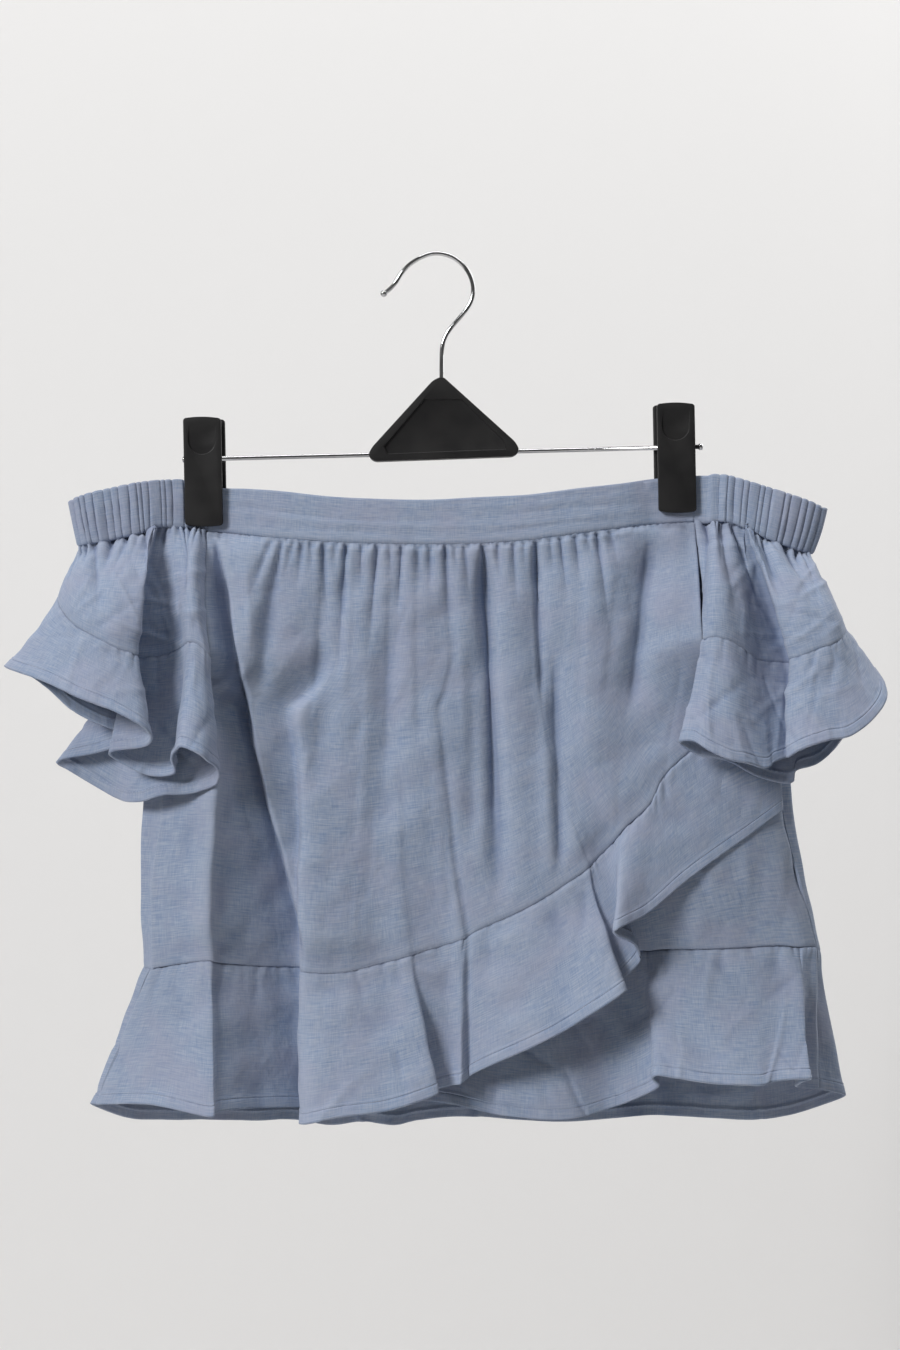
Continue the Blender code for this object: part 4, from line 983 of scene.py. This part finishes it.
def stitch_tree():
    """Lays short thick stitches end to end along a curve."""
    tree = bpy.data.node_groups.new("topstitch", "GeometryNodeTree")
    socket = tree.interface.new_socket
    socket("Curve", in_out="INPUT", socket_type="NodeSocketGeometry")
    for label, size in (("Pitch", STITCH_PITCH), ("Length", STITCH_LENGTH), ("Thickness", STITCH_THICKNESS)):
        socket(label, in_out="INPUT", socket_type="NodeSocketFloat").default_value = size * MM
    socket("Thread", in_out="INPUT", socket_type="NodeSocketMaterial")
    socket("Stitches", in_out="OUTPUT", socket_type="NodeSocketGeometry")
    nodes, links = tree.nodes, tree.links
    given, result = nodes.new("NodeGroupInput"), nodes.new("NodeGroupOutput")
    spots = nodes.new("GeometryNodeResampleCurve")
    spots.mode = "LENGTH"
    bead = nodes.new("GeometryNodeMeshUVSphere")
    bead.inputs["Segments"].default_value, bead.inputs["Rings"].default_value = 6, 4
    bead.inputs["Radius"].default_value = 0.5
    size = nodes.new("ShaderNodeCombineXYZ")
    heading = nodes.new("FunctionNodeAlignRotationToVector")
    heading.axis = "Z"
    place = nodes.new("GeometryNodeInstanceOnPoints")
    finish = nodes.new("GeometryNodeSetMaterial")
    links.new(given.outputs["Curve"], spots.inputs["Curve"])
    links.new(given.outputs["Pitch"], spots.inputs["Length"])
    for axis, label in (("X", "Thickness"), ("Y", "Thickness"), ("Z", "Length")):
        links.new(given.outputs[label], size.inputs[axis])
    links.new(nodes.new("GeometryNodeInputTangent").outputs["Tangent"], heading.inputs["Vector"])
    links.new(spots.outputs["Curve"], place.inputs["Points"])
    links.new(bead.outputs["Mesh"], place.inputs["Instance"])
    links.new(heading.outputs["Rotation"], place.inputs["Rotation"])
    links.new(size.outputs["Vector"], place.inputs["Scale"])
    real = nodes.new("GeometryNodeRealizeInstances")
    links.new(place.outputs["Instances"], real.inputs["Geometry"])
    links.new(real.outputs["Geometry"], finish.inputs["Geometry"])
    links.new(given.outputs["Thread"], finish.inputs["Material"])
    links.new(finish.outputs["Geometry"], result.inputs["Stitches"])
    return tree


def topstitch(name, paths, ring):
    """Stitches along each path of points in mm, as one plain mesh."""
    curve = bpy.data.curves.new(name, "CURVE")
    curve.dimensions = "3D"
    for path in paths:
        line = curve.splines.new("POLY")
        line.points.add(len(path) - 1)
        line.points.foreach_set("co", np.concatenate([path * MM, np.ones((len(path), 1))], axis=1).ravel())
        line.use_cyclic_u = ring
    guide = bpy.data.objects.new(name, curve)
    scene.collection.objects.link(guide)
    sew = guide.modifiers.new("sew", "NODES")
    sew.node_group = topstitch_tree
    for entry in topstitch_tree.interface.items_tree:
        if entry.name == "Thread":
            sew[entry.identifier] = thread_finish
    mesh = bpy.data.meshes.new_from_object(guide.evaluated_get(bpy.context.evaluated_depsgraph_get()))
    bpy.data.objects.remove(guide, do_unlink=True)
    item = bpy.data.objects.new(name, mesh)
    scene.collection.objects.link(item)
    finish_piece(item, "chambray")
    return item


def flounce_grid(table, columns, ring):
    """Ruffle hanging from its seam, from a table of ridges and valleys."""
    last = len(table) if ring else len(table) - 1
    t = np.linspace(0, last, columns, endpoint=not ring)
    top, bottom = follow(table_part(table, 0), t, ring), follow(table_part(table, 3), t, ring)
    v = np.linspace(0, 1, FLARE_ROWS)[:, None]
    flare = (1 - FLARE_SHARE) * v + FLARE_SHARE * v * v * (3 - v) * 0.5
    grid = top + (bottom - top) * v[..., None]
    grid[..., 1] = top[:, 1] + (bottom[:, 1] - top[:, 1]) * flare
    return grid


def hemmed(grid, rows):
    """The same surface with even rows above and set rows through the turned-up hem."""
    result = np.empty((rows + len(HEM_STEPS), grid.shape[1], 3))
    for column in range(grid.shape[1]):
        line = grid[:, column]
        reach = np.concatenate([[0], np.cumsum(np.linalg.norm(np.diff(line, axis=0), axis=1))])
        above = np.linspace(0, reach[-1] - HEM_STEPS[0] - 1.0, rows)
        stops = np.concatenate([above, reach[-1] - np.array(HEM_STEPS)])
        for axis in range(3):
            result[:, column, axis] = np.interp(stops, reach, line[:, axis])
    return result


def sew_flounce(name, node, table, columns, rows, seeds, ring=False, flip=False):
    """Makes, hems, stitches and attaches one flounce."""
    grid = flounce_grid(table, columns, ring)
    if flip:
        grid = grid[:, ::-1]
    grid = hemmed(grid, rows)
    normals = outward_normals(grid, ring)
    grid = pucker(grid, normals, seeds, 8.5, 0.8, 14.0)
    grid = crumple(grid, normals, seeds + 1, 0.9, loose_hem=True)
    steps = np.concatenate([np.full(rows, 99.0), HEM_STEPS])
    across, _down = flat_places(grid)
    ripple = 0.12 * np.sin(across * 1.15) * np.sin(across * 0.37 + seeds)
    sink = STITCH_SINK * np.exp(-((steps - HEM_STITCH) / 0.45) ** 2)[:, None]
    grid += normals * (ripple * (steps < HEM_WIDTH)[:, None] - sink)[..., None]
    row = rows + HEM_STEPS.index(HEM_STITCH)
    normals = outward_normals(grid, ring)
    lift = normals[row] * STITCH_LIFT
    stitches = topstitch(f"{name}_stitches", [grid[row] + lift, grid[row] - lift], ring)
    grid, _normals = turn_edges(grid, normals, ("top",) if ring else ("left", "right", "top"))
    flounce = cloth_object(name, grid, ring=ring, hem_rows=len(HEM_STEPS) - 2)
    finish_piece(flounce, "chambray", node)


thread_finish = thread_material()
topstitch_tree = stitch_tree()
sew_flounce("wrap_flounce", "wrap_ruffle", WRAP_ROWS, 380, 34, 51)
sew_flounce("under_flounce", "under_ruffle", UNDER_ROWS, 260, 34, 61)
sew_flounce("back_flounce", "back_ruffle", BACK_ROWS, 350, 34, 71)

# Upper sleeves: a piece of chambray each, gathered into the casing and sewn to the front and the back at the
# armhole. They fall to the flounce in long folds.
# top x, top y, top z, row of the flounce's table under it
LEFT_SLEEVE_ROWS = (
    (-138.6, -4, -166.5, 3.4), (-144, -6, -165.5, 4.4), (-150, -5.5, -165, 6.4), (-157, -3.5, -164, 9.0),
    (-164, -4, -164.5, 11.0), (-165.5, -7.5, -165.5, 12.2), (-167, -10, -166.5, 13.8),
    (-173, -10, -168.5, 15.0), (-187, -8, -171, 16.2), (-198, -7, -173, 17.0), (-208, -5, -175, 18.0),
    (-214.5, 0, -176, 20.0), (-208, 5, -175, 22.0), (-195, 7, -173, 24.0), (-175, 7.5, -169, 26.3),
    (-156, 6.5, -165, 28.0), (-139, 3, -167, 29.6),
)
RIGHT_SLEEVE_ROWS = (
    (156.2, -3, -161.5, 0.5), (163, -5, -162.5, 1.4), (167, -7.5, -162, 2.4), (172, -6, -161.5, 3.4),
    (177, -4, -162.5, 4.4), (181, -4.5, -164, 5.4), (183, -8.5, -165.5, 7.0), (185.5, -11, -166.5, 9.0),
    (193, -10, -169.5, 10.0), (200, -9, -172.5, 11.0), (212, -8, -177, 12.0), (220, -6, -179.5, 13.2),
    (225.5, 0, -180.5, 14.8), (218, 6, -179, 16.0), (200, 7.5, -173.5, 17.6), (180, 7.5, -165, 18.8),
    (156.5, 3, -162, 20.0),
)
# seam x, seam y, seam z, hem x, hem y, hem z
LEFT_FLOUNCE_ROWS = (
    (-170, -13, -266, -160, -27, -323), (-151, -18, -262, -144, -29, -322),
    (-137, -23, -252, -129, -34, -317), (-131.5, -31, -244, -126, -43, -309),
    (-134, -35.5, -238, -131, -54, -302), (-139, -36.5, -234, -139, -58, -296),
    (-144, -35, -233, -148, -54, -294), (-147, -30, -234, -153, -44, -301),
    (-150, -22, -236, -152, -36, -310), (-157, -16, -239, -165, -29, -312),
    (-166, -14, -241, -176, -26, -309), (-181, -16, -242, -190, -26, -301),
    (-181, -26, -242, -189, -35, -297), (-174.5, -38, -241, -169, -47, -294),
    (-173, -43, -241, -164, -56, -288), (-177, -46, -239, -170, -62, -281),
    (-186, -47, -236, -185, -61, -273), (-198, -44, -230, -206, -57, -265),
    (-211, -36, -223, -228, -44, -256), (-221, -25, -213, -253, -26, -248),
    (-224, -14, -205.5, -247, -18, -249),
    (-220, -6, -202, -231, -20, -259), (-214, -1, -207, -215, -21, -273), (-208, 2, -217, -195, -21, -283),
    (-203, 3, -227, -181, -19, -287), (-199, 3.5, -235, -183, -13, -292), (-195, 6, -242, -203, -6, -299),
    (-189, 9, -249, -227, 0, -304), (-183, 7, -256, -219, 5, -311), (-179, 1, -261, -192, 1, -326),
    (-175, -7, -265, -177, -13, -328),
)
RIGHT_FLOUNCE_ROWS = (
    (157, -28, -234, 143, -42, -292), (159, -32, -231, 150, -49, -291), (164, -35, -230, 158, -54, -296),
    (172, -35, -232, 171, -56, -301), (182, -29, -237, 184, -50, -304), (191, -21, -243, 194, -44, -306),
    (197, -17, -244, 199, -37, -303), (211, -10.5, -245, 209, -29.5, -300),
    (210.5, -25, -244.5, 207.5, -41, -299), (207, -37, -243, 204, -53, -300),
    (213, -44, -241, 213, -58, -295), (223, -46, -237, 227, -59, -290),
    (232, -45, -234, 240, -58, -287), (238, -39, -230, 254, -53, -277), (242, -25, -226, 264, -40, -264),
    (243, -11, -224, 262, -24, -253), (240, -3, -229, 254, -17, -266), (236, 1, -237, 243, -14, -288),
    (229, 1, -247, 228, -16, -304), (221, -3, -257, 213, -22, -309), (213, -9, -265, 209, -28, -316),
    (203, -15, -269, 191, -32, -313), (186, -19, -264, 171, -34, -303), (169, -24, -254, 154, -36, -299),
)
SLEEVE_MESH = (250, 64)
SLEEVE_BULGE = 0.9
SLEEVE_RAISE = 2.0        # how far the sleeve's top reaches up into the casing's seam
ARMHOLE_GAP = 0.5
ARMHOLE_REACH = 0.10      # share of the sleeve that is drawn to the body's edge
SLEEVES = (
    ("left", LEFT_SLEEVE_ROWS, LEFT_FLOUNCE_ROWS, True, 81, (0.315, 0.111), 0.0168),
    ("right", RIGHT_SLEEVE_ROWS, RIGHT_FLOUNCE_ROWS, False, 91, (0.305, 0.125), 0.0167),
)
for side, rows, flounce_rows, flip, seed, cut, area in SLEEVES:
    u, v = shares(*SLEEVE_MESH)
    table = np.asarray(rows, float)
    t = u * (len(table) - 1)
    high = follow(table[:, :3], t)
    high[..., 2] += SLEEVE_RAISE
    foot = follow(table_part(flounce_rows, 0), follow(table[:, 3:], t)[..., 0], True)
    grid = high + (foot - high) * v[..., None]
    grid[..., 1] = high[..., 1] + (foot[..., 1] - high[..., 1]) * np.sin(0.5 * np.pi * v) ** SLEEVE_BULGE
    away = -ARMHOLE_GAP if side == "left" else ARMHOLE_GAP
    for column, sides, reach in ((0, front_sides, u), (-1, back_sides, 1 - u)):
        line = sides[side][np.argsort(sides[side][:, 2])]
        share = np.clip(1 - reach / ARMHOLE_REACH, 0, 1) ** 2 * (1 - ease((v - 0.7) / 0.3))
        for axis, gap in ((0, away), (1, 0.0)):
            target = np.interp(grid[:, column, 2], line[:, 2], line[:, axis]) + gap
            grid[..., axis] += (target - grid[:, column, axis])[:, None] * share
    if flip:
        grid = grid[:, ::-1]
    normals = outward_normals(grid)
    grid = pucker(grid, normals, seed, 9.5, 4.6, 36.0)
    grid = pucker(grid, normals, seed + 5, 5.5, 1.9, 10.0)
    grid = crumple(grid, normals, seed + 1, 0.8)
    grid, normals = turn_edges(grid, outward_normals(grid), ("left", "right", "top", "bottom"))
    sleeve = cloth_object(f"upper_sleeve_{side}", grid)
    finish_piece(sleeve, "chambray", f"sleeve_{side}")

# Sleeve flounces: a ring of chambray round each sleeve's end, cut on a curve like the hem's ruffles and
# hemmed in the same way. The left one folds over itself at the front.
sew_flounce("sleeve_flounce_left", "sleeve_ruffle_left", LEFT_FLOUNCE_ROWS, 420, 30, 101,
            ring=True, flip=True)
sew_flounce("sleeve_flounce_right", "sleeve_ruffle_right", RIGHT_FLOUNCE_ROWS, 340, 30, 111,
            ring=True)

# Stage: a pale wall close behind and a pale floor far below. A large soft light stands at the upper left and
# rakes across the cloth, a weak one at the right opens the shadows, and even light comes from all round.
WALL_Y = 900.0
FLOOR_Z = -1500.0
WALL_COLOUR = (0.80, 0.792, 0.785, 1.0)
FLOOR_COLOUR = (0.78, 0.77, 0.76, 1.0)


def pale_surface(name, colour, see_through_back):
    """Matt paint with faint clouds; a wall can be looked through from behind."""
    material, nodes, links, shader, place = new_material(name)
    duller = tuple(c * 0.97 for c in colour[:3]) + (1.0,)
    clouds = add_noise(nodes, links, place, 1.2)
    links.new(mix(nodes, links, clouds, colour, duller), shader.inputs["Base Color"])
    shader.inputs["Roughness"].default_value = 0.9
    if see_through_back:
        clear = nodes.new("ShaderNodeBsdfTransparent")
        pick = nodes.new("ShaderNodeMixShader")
        links.new(nodes.new("ShaderNodeNewGeometry").outputs["Backfacing"], pick.inputs["Fac"])
        links.new(shader.outputs["BSDF"], pick.inputs[1])
        links.new(clear.outputs["BSDF"], pick.inputs[2])
        links.new(pick.outputs["Shader"], nodes["Material Output"].inputs["Surface"])
    return material


def stage_plane(name, corners, material):
    work = bmesh.new()
    work.faces.new([work.verts.new(Vector(corner) * MM) for corner in corners])
    item = mesh_object(name, work, material, smooth=False)
    return item


REACH = 2500.0
stage_plane("wall", ((-REACH, WALL_Y, FLOOR_Z), (REACH, WALL_Y, FLOOR_Z), (REACH, WALL_Y, REACH),
                     (-REACH, WALL_Y, REACH)), pale_surface("wall_paint", WALL_COLOUR, True))
stage_plane("floor", ((-REACH, -REACH, FLOOR_Z), (REACH, -REACH, FLOOR_Z), (REACH, REACH, FLOOR_Z),
                      (-REACH, REACH, FLOOR_Z)), pale_surface("floor_paint", FLOOR_COLOUR, False))

# name, place, aim, width, height, power
LIGHTS = (
    ("key", (-4380, -4340, 2900), (0, 0, -300), 2000, 2000, 368.0),
    ("wall_wash", (500, -300, 2300), (300, 900, 600), 3000, 500, 42.0),
    ("back_fill", (1300, 800, 600), (0, 0, -300), 1100, 1100, 16.0),
)
for name, place, aim, width, height, power in LIGHTS:
    lamp = bpy.data.lights.new(name, "AREA")
    lamp.shape = "RECTANGLE"
    lamp.size, lamp.size_y = width * MM, height * MM
    lamp.energy = power
    lamp_object = bpy.data.objects.new(name, lamp)
    lamp_object.location = Vector(place) * MM
    lamp_object.rotation_euler = (Vector(aim) - Vector(place)).to_track_quat("-Z", "Y").to_euler()
    scene.collection.objects.link(lamp_object)

# The room's even light is weak, but it looks pale from the sides, where no wall stands behind the top
WORLD_LIGHT, WORLD_SEEN = 0.10, 0.75
world = bpy.data.worlds.new("even_light")
world.use_nodes = True
world.node_tree.nodes["Background"].inputs["Color"].default_value = (1.0, 0.99, 0.98, 1.0)
world_nodes, world_links = world.node_tree.nodes, world.node_tree.links
seen = world_nodes.new("ShaderNodeLightPath").outputs["Is Camera Ray"]
world_links.new(remap(world_nodes, world_links, seen, 0.0, 1.0, WORLD_LIGHT, WORLD_SEEN),
                world_nodes["Background"].inputs["Strength"])
scene.world = world
scene.view_settings.view_transform = "Standard"
